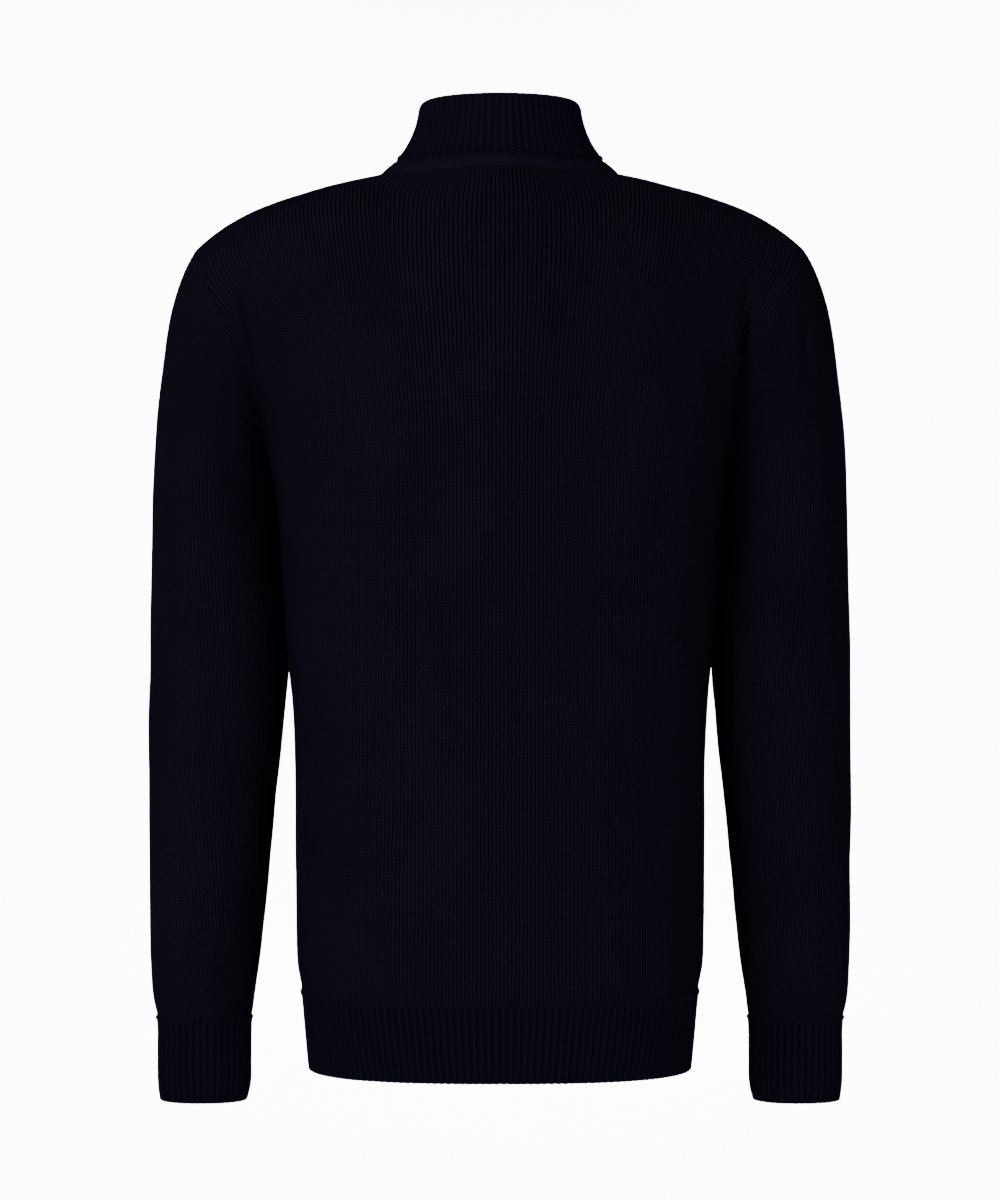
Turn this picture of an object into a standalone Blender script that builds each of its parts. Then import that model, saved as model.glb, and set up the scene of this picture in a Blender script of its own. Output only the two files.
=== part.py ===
"""A ribbed zip cardigan in its worn, hollow form.

Metres, +Z up. The front faces -Y and the wearer's left side is at +X. The origin is the middle of
the neck opening, level with the neck points, where the wearer's shoulders carry the garment.
Every cloth piece is a thin wall: an outer surface worked out from the tables below, and an inner
surface moved in by the cloth's thickness. Edges that a maker would join keep SEAM_GAP between them.
"""

import math
from collections import namedtuple

import bmesh
import bpy
import numpy as np

# Cloth
PLAIN_CLOTH = 0.0020
RIB_CLOTH = 0.0024
RIB_RELIEF = 0.0010
SEAM_GAP = 0.0004

# Levels
HEM_Z = -0.693
HEM_SEAM_Z = -0.633
UNDERARM_Z = -0.235
CUFF_SEAM_Z = -0.659
CUFF_Z = -0.725

# Ribs, counted at their pitch of about 5.4 mm
HEM_BACK_RIBS = 82
HEM_FRONT_RIBS = 40
CUFF_RIBS = 40
COLLAR_RIBS = 88
POINTS_PER_RIB = 2
INNER_STEP = 4

# Neck and shoulder
NECK_HALF_WIDTH = 0.094
NECK_BACK_Y = 0.076
NECK_FRONT_Y = -0.100
NECK_CROWN = 0.030
NECK_ROUNDNESS = 1.75
SHOULDER_X = 0.237
SHOULDER_STRAIGHT_DROP = 0.030
SHOULDER_CURVED_DROP = 0.027
SHOULDER_Z = -(SHOULDER_STRAIGHT_DROP + SHOULDER_CURVED_DROP)

# Collar top edge
COLLAR_HALF_WIDTH = 0.0625
COLLAR_BACK_Y = 0.061
COLLAR_FRONT_Y = -0.087
COLLAR_Z = 0.0572
COLLAR_FRONT_Z = -0.004
COLLAR_BAND = 0.0075

# Zip
FRONT_EDGE_X = 0.0055
TAPE_SHARE = 0.030
TAPE_COLLAR_SHARE = 0.0115
TAPE_DEPTHS = (0.0028, 0.0036)
CHAIN_HALF_WIDTH = 0.0027
CHAIN_DEPTHS = (0.0001, 0.0025)
MIN_BAR_STEP = 0.0015
BOX_HALF_WIDTH = 0.0046
BOX_LENGTH = 0.009
STOP_INSET = 0.004
STOP_LENGTH = 0.0025

# Zip slider: a channel over the chain, with a bail that carries the pull tab
SLIDER_HALF_WIDTH = 0.0050
SLIDER_FLANGE = 0.0016
SLIDER_LENGTH = 0.010
SLIDER_TAPER = 0.86
SLIDER_FRONT = -0.0019
SLIDER_UNDER = -0.0003
SLIDER_BACK = 0.0023
PIN_RADIUS = 0.0006
PIN_HALF_WIDTH = 0.0032
PIN_HEIGHT = 0.0023
HOOK_RADIUS = 0.00130
PULL_THICKNESS = 0.0008
PULL_LENGTH = 0.024
PULL_TILT = math.radians(10)
PULL_NECK_HALF_WIDTH = 0.0018
PULL_HALF_WIDTH = 0.0036

# The torso: its half width at the side seams and its depth behind and before them
TorsoRow = namedtuple("TorsoRow", "z half_width back front")
TORSO = (
    TorsoRow(-0.693, 0.1480, 0.108, 0.114),
    TorsoRow(-0.675, 0.1497, 0.116, 0.122),
    TorsoRow(-0.650, 0.1518, 0.124, 0.130),
    TorsoRow(-0.633, 0.1535, 0.128, 0.134),
    TorsoRow(-0.612, 0.1570, 0.133, 0.138),
    TorsoRow(-0.585, 0.1582, 0.133, 0.138),
    TorsoRow(-0.500, 0.1590, 0.128, 0.134),
    TorsoRow(-0.430, 0.1602, 0.126, 0.132),
    TorsoRow(-0.380, 0.1640, 0.128, 0.132),
    TorsoRow(-0.330, 0.1680, 0.131, 0.133),
    TorsoRow(-0.235, 0.1770, 0.136, 0.136),
)
TORSO_SQUARENESS = 2.6

# The sleeve below the underarm: inner and outer edge, middle and half depth
SleeveRow = namedtuple("SleeveRow", "z inner outer middle_y half_depth")
SLEEVE = (
    SleeveRow(-0.725, 0.2010, 0.2680, -0.040, 0.0285),
    SleeveRow(-0.715, 0.1985, 0.2695, -0.040, 0.0305),
    SleeveRow(-0.690, 0.1975, 0.2698, -0.038, 0.0320),
    SleeveRow(-0.659, 0.1965, 0.2705, -0.036, 0.0340),
    SleeveRow(-0.645, 0.1945, 0.2735, -0.035, 0.0375),
    SleeveRow(-0.620, 0.1905, 0.2755, -0.032, 0.0420),
    SleeveRow(-0.560, 0.1835, 0.2755, -0.026, 0.0480),
    SleeveRow(-0.480, 0.1755, 0.2755, -0.020, 0.0540),
    SleeveRow(-0.430, 0.1700, 0.2752, -0.018, 0.0580),
    SleeveRow(-0.380, 0.1665, 0.2745, -0.017, 0.0620),
    SleeveRow(-0.330, 0.1698, 0.2735, -0.016, 0.0655),
    SleeveRow(-0.262, 0.1775, 0.2715, -0.012, 0.0700),
)
SLEEVE_SQUARENESS = 2.2
SLEEVE_TOP_Z = -0.262

# Directions of the curves that run from the underarm level over the shoulder
Panel = namedtuple("Panel", "start_reach centre_end neck_end armhole_start armhole_end")
BACK_PANEL = Panel(
    start_reach=0.24,
    centre_end=(0.0, -0.390, 0.067),
    neck_end=(0.0, -0.260, -0.035),
    armhole_start=(0.000, 0.260, 0.100),
    armhole_end=(0.020, -0.200, 0.050),
)
FRONT_PANEL = Panel(
    start_reach=0.20,
    centre_end=(0.0, 0.362, 0.239),
    neck_end=(0.0, 0.260, 0.040),
    armhole_start=(-0.020, -0.240, 0.100),
    armhole_end=(0.050, 0.190, 0.050),
)

# Rows and columns of the panels
NECK_COLUMNS = 6
SHOULDER_COLUMNS = 9
LOWER_ROWS = 7
UPPER_ROWS = 11
SLEEVE_CAP_ROWS = 6
SLEEVE_ROWS = (-0.300, -0.345, -0.390, -0.440, -0.500, -0.560, -0.605, -0.635, -0.650)
HEM_ROWS = (0.0, 0.35, 0.7, 1.0)
CUFF_ROWS = (0.0, 0.5, 0.85, 1.0)
COLLAR_ROWS = (0.0, 0.13, 0.35, 0.6, 0.85, 1.0)
RING_SAMPLES = 160

# Large soft folds: from and to in panel shares (across, up), radius and depth
Fold = namedtuple("Fold", "across_from up_from across_to up_to radius depth")
BACK_FOLDS = (
    Fold(-0.86, 1.62, -0.93, 1.25, 0.075, 0.0070),
    Fold(0.88, 1.66, 0.93, 1.25, 0.070, 0.0040),
    Fold(0.45, 0.65, 0.10, 0.05, 0.070, 0.0022),
    Fold(0.15, 0.60, -0.12, 0.10, 0.060, 0.0016),
    Fold(-0.55, 0.70, -0.60, 0.15, 0.090, 0.0014),
)
FRONT_FOLDS = (
    Fold(0.86, 1.62, 0.92, 1.25, 0.075, 0.0050),
    Fold(0.60, 0.75, 0.45, 0.10, 0.090, 0.0018),
)
SLEEVE_FOLDS = (
    Fold(0.10, 0.10, 0.13, 0.42, 0.045, 0.0030),
    Fold(0.62, 0.45, 0.80, 0.52, 0.060, 0.0035),
    Fold(0.40, 0.80, 0.20, 0.97, 0.045, 0.0025),
)

KNIT_COLOUR = (0.0040, 0.0040, 0.0085, 1.0)
RIB_COLOUR = (0.0034, 0.0034, 0.0075, 1.0)
TAPE_COLOUR = (0.0045, 0.0045, 0.0080, 1.0)
METAL_COLOUR = (0.090, 0.090, 0.100, 1.0)


# Curves and surfaces
def hermite(start, end, start_slope, end_slope, t):
    """The cubic curve between two points with the given directions at its ends."""
    return (
        (2 * t**3 - 3 * t**2 + 1) * start
        + (t**3 - 2 * t**2 + t) * start_slope
        + (3 * t**2 - 2 * t**3) * end
        + (t**3 - t**2) * end_slope
    )


def read_table(rows, column, z):
    """A smooth curve through one column of a table, read at the levels z."""
    levels = np.array([row.z for row in rows])
    values = np.array([getattr(row, column) for row in rows])
    z = np.asarray(z, float)
    slopes = np.gradient(values, levels)
    i = np.clip(np.searchsorted(levels, z) - 1, 0, len(levels) - 2)
    span = levels[i + 1] - levels[i]
    return hermite(values[i], values[i + 1], slopes[i] * span, slopes[i + 1] * span, (z - levels[i]) / span)


def unit(vectors):
    return vectors / np.linalg.norm(vectors, axis=-1, keepdims=True)


def lengths_along(points):
    """The distance run along a line of points, from 0 at its first."""
    steps = np.linalg.norm(np.diff(points, axis=0), axis=1)
    return np.concatenate([[0.0], np.cumsum(steps)])


def at_lengths(points, run, wanted):
    return np.stack([np.interp(wanted, run, points[:, axis]) for axis in range(3)], axis=-1)


def quarter_ring(z, face):
    """Half of one side of the torso at level z, from the centre line to the side seam."""
    half_width = float(read_table(TORSO, "half_width", z))
    depth = float(read_table(TORSO, "back" if face > 0 else "front", z))
    angle = np.linspace(0, math.pi / 2, RING_SAMPLES)
    power = 2 / TORSO_SQUARENESS
    x = half_width * np.sin(angle) ** power
    y = face * depth * np.cos(angle).clip(0) ** power
    return np.stack([x, y, np.full_like(x, z)], axis=-1)


def torso_row(z, shares, face):
    """Points of the torso at level z, at shares of the way from the panel's middle edge to the side."""
    ring = quarter_ring(z, face)
    run = lengths_along(ring)
    first = 0.0 if face > 0 else np.interp(FRONT_EDGE_X, ring[:, 0], run)
    last = run[-1] - SEAM_GAP / 2
    return at_lengths(ring, run, first + np.asarray(shares) * (last - first))


def shoulder_height(x):
    """The level of the shoulder line at x, run on over the neck hole as a smooth crown."""
    t = (x - NECK_HALF_WIDTH) / (SHOULDER_X - NECK_HALF_WIDTH)
    slope = -SHOULDER_STRAIGHT_DROP / (SHOULDER_X - NECK_HALF_WIDTH)
    from_edge = 1 - (x / NECK_HALF_WIDTH) ** 2
    over_neck = NECK_CROWN * from_edge**2 - slope * NECK_HALF_WIDTH / 2 * from_edge
    shoulder = -SHOULDER_STRAIGHT_DROP * t - SHOULDER_CURVED_DROP * t.clip(0) ** 4
    return np.where(x < NECK_HALF_WIDTH, over_neck, shoulder)


def first_x(face):
    """Where a panel's columns start: the centre line of the back, or the edge of a front."""
    return 0.0 if face > 0 else FRONT_EDGE_X


def neck_share(face):
    """The share of a panel's width that ends at the neck."""
    return (NECK_HALF_WIDTH - first_x(face)) / (SHOULDER_X - first_x(face))


def end_directions(shares, face, panel):
    """The directions of the columns at their upper ends, eased from the centre to the armhole."""
    centre, neck, armhole = (np.array(v) for v in (panel.centre_end, panel.neck_end, panel.armhole_end))
    at_neck = neck_share(face)
    inside = (shares / at_neck).clip(0, 1)
    near_neck = (1 - (1 - inside**2) ** 4)[:, None]
    outside = ((shares - at_neck) / (1 - at_neck)).clip(0, 1)
    near_armhole = (outside**2 * (3 - 2 * outside))[:, None]
    return centre + (neck - centre) * near_neck + (armhole - neck) * near_armhole


def upper_columns(shares, face):
    """The ends and directions of the curves that run from the underarm level over the shoulder."""
    panel = BACK_PANEL if face > 0 else FRONT_PANEL
    bottom = torso_row(UNDERARM_Z, shares, face)
    below = torso_row(UNDERARM_Z - 0.01, shares, face)
    corner = (shares**6)[:, None]
    start = (bottom - below) / 0.01 * panel.start_reach * (1 - corner)
    start = start + np.array(panel.armhole_start) * corner
    x = first_x(face) + (SHOULDER_X - first_x(face)) * shares
    top = np.stack([x, np.zeros_like(x), shoulder_height(x)], axis=-1)
    return bottom, top, start, end_directions(shares, face, panel)


def neck_cut(columns, face):
    """How far up its curve each column meets the neck hole, a slightly pointed oval from above."""
    reach, power = (NECK_BACK_Y, NECK_ROUNDNESS) if face > 0 else (NECK_FRONT_Y, 2)
    low, high = np.full(len(columns[0]), 0.3), np.ones(len(columns[0]))
    for _ in range(30):
        middle = (low + high) / 2
        points = hermite(*columns, middle[:, None])
        x, y = points[:, 0] / NECK_HALF_WIDTH, (points[:, 1] / reach).clip(0)
        outside = x**power + y**power > 1
        low = np.where(outside, middle, low)
        high = np.where(outside, high, middle)
    return np.where(high > 0.999, 1.0, high)


def upper_panel(shares, heights, face):
    """The panel above the underarm, from its level, 0, to the neck or shoulder edge, 1."""
    columns = upper_columns(shares, face)
    t = np.asarray(heights)[:, None, None] * neck_cut(columns, face)[None, :, None]
    return hermite(*(part[None] for part in columns), t)


def body_surface(shares, heights, face):
    """Outer points of the left half of the back (face 1) or of the left front (face -1).

    shares run from the centre line or front edge, 0, to the side or armhole, 1. heights run
    from the hem seam, 0, to the underarm, 1, and on to the neck and shoulder, 2.
    """
    shares, heights = np.asarray(shares, float), np.asarray(heights, float)
    rows = []
    for height in heights[heights <= 1]:
        z = HEM_SEAM_Z + height * (UNDERARM_Z - HEM_SEAM_Z)
        rows.append(torso_row(z, shares, face))
    upper = heights[heights > 1] - 1
    if len(upper):
        rows.extend(upper_panel(shares, upper, face))
    return np.array(rows)


def grid_normals(points, closed=False):
    """Unit normals of a grid of points, pointing away from the garment's middle at first sight."""
    if closed:
        across = np.roll(points, -1, axis=1) - np.roll(points, 1, axis=1)
    else:
        across = np.gradient(points, axis=1)
    up = np.gradient(points, axis=0)
    return unit(np.cross(across, up))


def fold_depth(folds, across, up):
    """How far the folds press the cloth in, at each column and row."""
    total = np.zeros((len(up), len(across)))
    across, up = np.meshgrid(across, up)
    for fold in folds:
        run = np.array([fold.across_to - fold.across_from, fold.up_to - fold.up_from])
        offset = np.stack([across - fold.across_from, up - fold.up_from], axis=-1)
        t = np.clip(offset @ run / (run @ run), 0, 1)
        away = np.linalg.norm(offset - t[..., None] * run, axis=-1)
        total += fold.depth * np.exp(-((away / fold.radius) ** 2)) * np.sin(math.pi * (0.15 + 0.7 * t))
    return total


# Seams
def armhole_seam(heights, face):
    """Points, crossing directions and normals along the armhole, from the underarm to the tip."""
    step = 0.002
    side = np.array([1.0])
    line = upper_panel(side, heights, face)[:, 0]
    before = upper_panel(side, np.clip(heights - step, 0, 1), face)[:, 0]
    after = upper_panel(side, np.clip(heights + step, 0, 1), face)[:, 0]
    line[:, 1] -= np.interp(heights, [0, 0.15], [line[0, 1], 0])
    along = unit(after - before)
    crossing = np.stack([np.ones_like(heights), 0 * heights, -1.9 * heights**2], axis=-1)
    along[[0, -1]] = along[[0, -1]] * (0, 1, 0)
    along = unit(along)
    crossing = unit(crossing - (crossing * along).sum(1, keepdims=True) * along)
    normal = face * np.cross(along, crossing)
    return line, crossing, unit(normal)


def neck_seam(points):
    """Crossing directions, from body to collar, and normals along a line of neck points."""
    plan = points[:, :2]
    turn = np.arctan2(plan[:, 1], np.abs(plan[:, 0]))
    rise = np.radians(np.interp(turn, [-math.pi / 2, 0, math.pi / 2], [70, 30, 62]))
    inward = -unit(plan)
    crossing = np.column_stack([inward * np.cos(rise)[:, None], np.sin(rise)])
    along = np.gradient(points, axis=0)
    level = np.abs(points[:, 1]) < 1e-6
    along[level] = (0, 1, 0)
    along[np.abs(points[:, 0]) < 1.01 * FRONT_EDGE_X] *= (1, 0, 0)
    along = unit(along)
    crossing = unit(crossing - (crossing * along).sum(1, keepdims=True) * along)
    normal = np.cross(along, crossing)
    outward = np.column_stack([-inward, np.full(len(points), 0.3)])
    normal *= np.sign((normal * outward).sum(1, keepdims=True))
    return crossing, unit(normal)


def panel_columns(face):
    """Shares of a panel's columns, spaced evenly round the neck and then along the shoulder."""
    first = math.asin(first_x(face) / NECK_HALF_WIDTH)
    turn = np.linspace(first, math.pi / 2, NECK_COLUMNS + 1)
    neck = (NECK_HALF_WIDTH * np.sin(turn) - first_x(face)) / (SHOULDER_X - first_x(face))
    shoulder = np.linspace(neck[-1], 1, SHOULDER_COLUMNS + 1)
    return np.concatenate([neck, shoulder[1:]])


def panel_heights():
    lower = np.linspace(0, 1, LOWER_ROWS + 1)
    upper = np.linspace(1, 2, UPPER_ROWS + 1)
    return np.concatenate([lower, upper[1:]])


def half_panel(face):
    """Outer points of the left half of the back, or of the left front, and its seams' normals.

    The seams' normals are those that the neighbouring pieces share. They are zero elsewhere.
    """
    shares, heights = panel_columns(face), panel_heights()
    outer = body_surface(shares, heights, face)
    normals = -face * grid_normals(outer)
    seams = np.zeros_like(outer)
    underarm, top = LOWER_ROWS, len(heights) - 1
    on_neck = np.arange(len(shares)) <= NECK_COLUMNS
    seams[0] = normals[0] * (1, 1, 0)
    seams[:underarm, -1] = normals[:underarm, -1] * (1, 0, 1)

    line, crossing, normal = armhole_seam(heights[underarm:] - 1, face)
    outer[underarm:, -1] = line - crossing * SEAM_GAP / 2
    outer[underarm, -1] += (0, face * SEAM_GAP / 2, 0)
    seams[underarm:, -1] = normal

    slope = np.gradient(outer[top, NECK_COLUMNS:], axis=0)[1:]
    outer[top, ~on_neck, 1] = face * SEAM_GAP / 2
    seams[top, ~on_neck] = np.column_stack([-slope[:, 2], 0 * slope[:, 2], slope[:, 0]])
    seams[top, -1] = normal[-1]

    across, neck_normal = neck_seam(outer[top, on_neck])
    outer[top, on_neck] -= across * SEAM_GAP / 2
    outer[top, NECK_COLUMNS, 1] = face * SEAM_GAP / 2
    seams[top, on_neck] = neck_normal
    return outer, seams


def fold_panel(outer, seams, shares, facing, folds):
    """Outer and inner points of a panel with its folds pressed in. The folds fade at its seams."""
    heights = panel_heights()
    free = np.clip((1 - np.abs(shares)) / 0.05, 0, 1) * np.clip(heights / 0.08, 0, 1)[:, None]
    free = free * np.clip((2 - heights) / 0.15, 0, 1)[:, None]
    depth = fold_depth(folds, shares, heights) * free
    outer = outer - facing * grid_normals(outer) * depth[..., None]
    normals = facing * grid_normals(outer)
    at_seam = np.any(seams != 0, axis=-1)
    normals[at_seam] = seams[at_seam]
    return outer, outer - unit(normals) * PLAIN_CLOTH


def mirrored(points):
    return points * (-1, 1, 1)


# Solids
def clear_scene():
    for obj in list(bpy.data.objects):
        bpy.data.objects.remove(obj, do_unlink=True)


def make_material(name, colour, roughness, metallic=0.0):
    material = bpy.data.materials.new(name)
    material.use_nodes = True
    shader = material.node_tree.nodes["Principled BSDF"]
    shader.inputs["Base Color"].default_value = colour
    shader.inputs["Roughness"].default_value = roughness
    shader.inputs["Metallic"].default_value = metallic
    material.diffuse_color = colour
    return material


def add_object(name, points, faces, material):
    """A mesh object with its faces turned outwards and its soft edges shaded smooth."""
    mesh = bpy.data.meshes.new(name)
    mesh.from_pydata([tuple(point) for point in points], [], faces)
    work = bmesh.new()
    work.from_mesh(mesh)
    bmesh.ops.recalc_face_normals(work, faces=work.faces)
    work.to_mesh(mesh)
    work.free()
    mesh.materials.append(material)
    mesh.shade_smooth()
    mesh.set_sharp_from_angle(angle=math.radians(50))
    obj = bpy.data.objects.new(name, mesh)
    bpy.context.scene.collection.objects.link(obj)
    return obj


def grid_faces(index, closed):
    """Quads over a grid of point numbers."""
    columns = index.shape[1]
    faces = []
    for row in range(index.shape[0] - 1):
        for column in range(columns if closed else columns - 1):
            beside = (column + 1) % columns
            faces.append(
                (index[row, column], index[row, beside], index[row + 1, beside], index[row + 1, column])
            )
    return faces


def rim_faces(outer, inner, step, closed):
    """Triangles between an outer row and an inner row that has one point for every step points."""
    faces = []
    for k in range(len(inner) if closed else len(inner) - 1):
        near, far = inner[k], inner[(k + 1) % len(inner)]
        for m in range(step):
            first = k * step + m
            second = (first + 1) % len(outer)
            faces.append((outer[first], outer[second], near if 2 * m < step else far))
        faces.append((near, far, outer[(k * step + (step + 1) // 2) % len(outer)]))
    return faces


def add_wall(name, outer, inner, material, closed=False):
    """The closed solid between an outer grid and an inner one, which may have fewer columns."""
    rows, columns = outer.shape[:2]
    inner_columns = inner.shape[1]
    step = columns // inner_columns if closed else (columns - 1) // (inner_columns - 1)
    out = np.arange(rows * columns).reshape(rows, columns)
    back = np.arange(rows * inner_columns).reshape(rows, inner_columns) + rows * columns
    faces = grid_faces(out, closed) + grid_faces(back, closed)
    for row in (0, rows - 1):
        faces += rim_faces(list(out[row]), list(back[row]), step, closed)
    if not closed:
        for a, b in ((out[:, 0], back[:, 0]), (out[:, -1], back[:, -1])):
            faces += [(a[i], a[i + 1], b[i + 1], b[i]) for i in range(rows - 1)]
    points = np.concatenate([outer.reshape(-1, 3), inner.reshape(-1, 3)])
    return add_object(name, points, [tuple(int(i) for i in face) for face in faces], material)


def rib_heights(ribs, closed):
    """The height of each column over the groove, with a groove at an open panel's edges."""
    columns = ribs * POINTS_PER_RIB + (0 if closed else 1)
    return RIB_RELIEF * (np.arange(columns) % POINTS_PER_RIB > 0)


# Pieces
def add_back(material):
    half, half_seams = half_panel(1)
    outer = np.concatenate([mirrored(half[:, :0:-1]), half], axis=1)
    seams = np.concatenate([mirrored(half_seams[:, :0:-1]), half_seams], axis=1)
    shares = panel_columns(1)
    shares = np.concatenate([-shares[:0:-1], shares])
    add_wall("back", *fold_panel(outer, seams, shares, -1, BACK_FOLDS), material)


def add_fronts(material):
    outer, inner = fold_panel(*half_panel(-1), panel_columns(-1), 1, FRONT_FOLDS)
    add_wall("front_left", outer, inner, material)
    add_wall("front_right", mirrored(outer), mirrored(inner), material)


def hem_levels():
    """The levels of the hem's rows, from its seam down."""
    return HEM_SEAM_Z - SEAM_GAP + np.array(HEM_ROWS) * (HEM_Z - HEM_SEAM_Z + SEAM_GAP)


def hem_grid(face, ribs):
    """Base points and normals of one quarter or front of the hem rib."""
    shares = np.linspace(0, 1, ribs * POINTS_PER_RIB + 1)
    points = np.array([torso_row(z, shares, face) for z in hem_levels()])
    normals = face * grid_normals(points)
    normals[0, :, 2] = 0
    normals[:, -1, 1] = 0
    return points, unit(normals)


def add_hem(material):
    points, normals = hem_grid(1, HEM_BACK_RIBS // 2)
    points = np.concatenate([mirrored(points[:, :0:-1]), points], axis=1)
    normals = np.concatenate([mirrored(normals[:, :0:-1]), normals], axis=1)
    heights = rib_heights(HEM_BACK_RIBS, False)[None, :, None]
    inner = (points - normals * RIB_CLOTH)[:, ::INNER_STEP]
    add_wall("hem_back", points + normals * heights, inner, material)
    points, normals = hem_grid(-1, HEM_FRONT_RIBS)
    heights = rib_heights(HEM_FRONT_RIBS, False)[None, :, None]
    outer = points + normals * heights
    inner = (points - normals * RIB_CLOTH)[:, ::INNER_STEP]
    add_wall("hem_front_left", outer, inner, material)
    add_wall("hem_front_right", mirrored(outer), mirrored(inner), material)
    return points


def sleeve_ring(z, turns):
    """The left sleeve at level z. turns run from its outer side, 0, over the back, 1/4, to 1."""
    inner, outer = read_table(SLEEVE, "inner", z), read_table(SLEEVE, "outer", z)
    middle_y, half_depth = read_table(SLEEVE, "middle_y", z), read_table(SLEEVE, "half_depth", z)
    power = 2 / SLEEVE_SQUARENESS
    c, s = np.cos(2 * math.pi * turns), np.sin(2 * math.pi * turns)
    x = (inner + outer) / 2 + (outer - inner) / 2 * np.sign(c) * np.abs(c) ** power
    y = middle_y + half_depth * np.sign(s) * np.abs(s) ** power
    return np.stack([x, y, np.full_like(x, float(z))], axis=-1)


def sleeve_grid():
    """Base points of the left sleeve, and the armhole's normals for its first ring."""
    up = np.linspace(0, 1, UPPER_ROWS + 1)
    back = armhole_seam(up, 1)
    front = armhole_seam(up, -1)
    loop = [np.concatenate([b[::-1], f[1:-1]]) for b, f in zip(back, front)]
    seam, crossing, seam_normal = loop
    top_share = np.concatenate([up[::-1], up[1:-1]])
    side = np.concatenate([np.ones(len(up)), -np.ones(len(up) - 2)])
    turns = np.arange(len(seam)) / len(seam)
    start = seam + crossing * SEAM_GAP / 2
    start[turns == 0.5, 1] = 0
    end = sleeve_ring(SLEEVE_TOP_Z, turns)
    reach = np.linalg.norm(end - start, axis=1, keepdims=True)
    outward = 0.05 + 0.65 * top_share
    lean = np.stack([outward, side * 0.6 * top_share * (1 - top_share), -np.ones_like(turns)], -1)
    below = (sleeve_ring(SLEEVE_TOP_Z - 0.01, turns) - end) / 0.01
    t = (np.arange(SLEEVE_CAP_ROWS) / SLEEVE_CAP_ROWS)[:, None, None]
    cap = hermite(start, end, unit(lean) * reach * 0.72, below * reach * 0.95, t)
    levels = (SLEEVE_TOP_Z,) + SLEEVE_ROWS + (CUFF_SEAM_Z + SEAM_GAP / 2,)
    rings = np.array([sleeve_ring(z, turns) for z in levels])
    return np.concatenate([cap, rings]), seam_normal


def add_sleeves(material):
    points, seam_normal = sleeve_grid()
    normals = -grid_normals(points, closed=True)
    turns = np.arange(points.shape[1]) / points.shape[1]
    down = np.linspace(0, 1, points.shape[0])
    ends = np.clip(down / 0.12, 0, 1) * np.clip((1 - down) / 0.08, 0, 1)
    depth = fold_depth(SLEEVE_FOLDS, turns, down) * ends[:, None]
    outer = points - normals * depth[..., None]
    normals = -grid_normals(outer, closed=True)
    normals[0] = seam_normal
    normals[-1, :, 2] = 0
    inner = outer - unit(normals) * PLAIN_CLOTH
    add_wall("sleeve_left", outer, inner, material, closed=True)
    add_wall("sleeve_right", mirrored(outer), mirrored(inner), material, closed=True)


def add_cuffs(material):
    turns = np.arange(CUFF_RIBS * POINTS_PER_RIB) / (CUFF_RIBS * POINTS_PER_RIB)
    top = CUFF_SEAM_Z - SEAM_GAP / 2
    levels = top + np.array(CUFF_ROWS) * (CUFF_Z - top)
    points = np.array([sleeve_ring(z, turns) for z in levels])
    normals = -grid_normals(points, closed=True)
    normals[0, :, 2] = 0
    normals = unit(normals)
    outer = points + normals * rib_heights(CUFF_RIBS, True)[None, :, None]
    inner = (points - normals * RIB_CLOTH)[:, ::INNER_STEP]
    add_wall("cuff_left", outer, inner, material, closed=True)
    add_wall("cuff_right", mirrored(outer), mirrored(inner), material, closed=True)


def neck_polyline():
    """The panels' whole neck edge as one line, from the left front edge round the back."""
    edge = np.array([1.0])
    front = upper_panel(panel_columns(-1)[: NECK_COLUMNS + 1], edge, -1)[0]
    back = upper_panel(panel_columns(1)[: NECK_COLUMNS + 1], edge, 1)[0]
    half = np.concatenate([front, back[-2::-1]])
    return np.concatenate([half, mirrored(half[-2::-1])])


def collar_surface(shares, heights):
    """Base points of the collar. shares run round the neck from the left front edge to the right."""
    seam = neck_polyline()
    run = lengths_along(seam)
    crossing, normal = neck_seam(seam)
    wanted = np.asarray(shares) * run[-1]
    base = at_lengths(seam, run, wanted)
    crossing, normal = (unit(at_lengths(v, run, wanted)) for v in (crossing, normal))
    first = math.acos(FRONT_EDGE_X / COLLAR_HALF_WIDTH)
    turn = np.linspace(-first, math.pi + first, RING_SAMPLES * 2)
    reach = np.where(np.sin(turn) > 0, COLLAR_BACK_Y, -COLLAR_FRONT_Y)
    x, y = COLLAR_HALF_WIDTH * np.cos(turn), reach * np.sin(turn)
    fall = ((1 - np.sin(turn)) / 2) ** 3.3
    z = COLLAR_Z + (COLLAR_FRONT_Z - COLLAR_Z) * fall
    rim = np.stack([x, y, z], axis=-1)
    rim_run = lengths_along(rim)
    top = at_lengths(rim, rim_run, np.asarray(shares) * rim_run[-1])
    base = base + crossing * SEAM_GAP / 2
    height = np.linalg.norm(top - base, axis=1, keepdims=True)
    upright = np.column_stack([0.10 * unit(top[:, :2]) * (-1, -1), np.ones(len(top))])
    behind = (np.sin(math.pi * np.asarray(shares)) ** 2)[:, None]
    crossing, upright = crossing * (1 - 0.20 * behind), upright * (1 + 0.35 * behind)
    t = np.asarray(heights)[:, None, None]
    return hermite(base[None], top[None], (crossing * height)[None], (upright * height)[None], t), normal


def add_collar(material):
    shares = np.linspace(0, 1, COLLAR_RIBS * POINTS_PER_RIB + 1)
    points, seam_normal = collar_surface(shares, COLLAR_ROWS)
    normals = grid_normals(points)
    normals[0] = seam_normal
    in_rib = np.array([0.0, 0.0] + [1.0] * (len(COLLAR_ROWS) - 2))
    outer = points + normals * (in_rib[:, None] * rib_heights(COLLAR_RIBS, False))[..., None]
    inner = (points - normals * RIB_CLOTH)[:, ::INNER_STEP]
    add_wall("collar", outer, inner, material)
    return points


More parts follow.
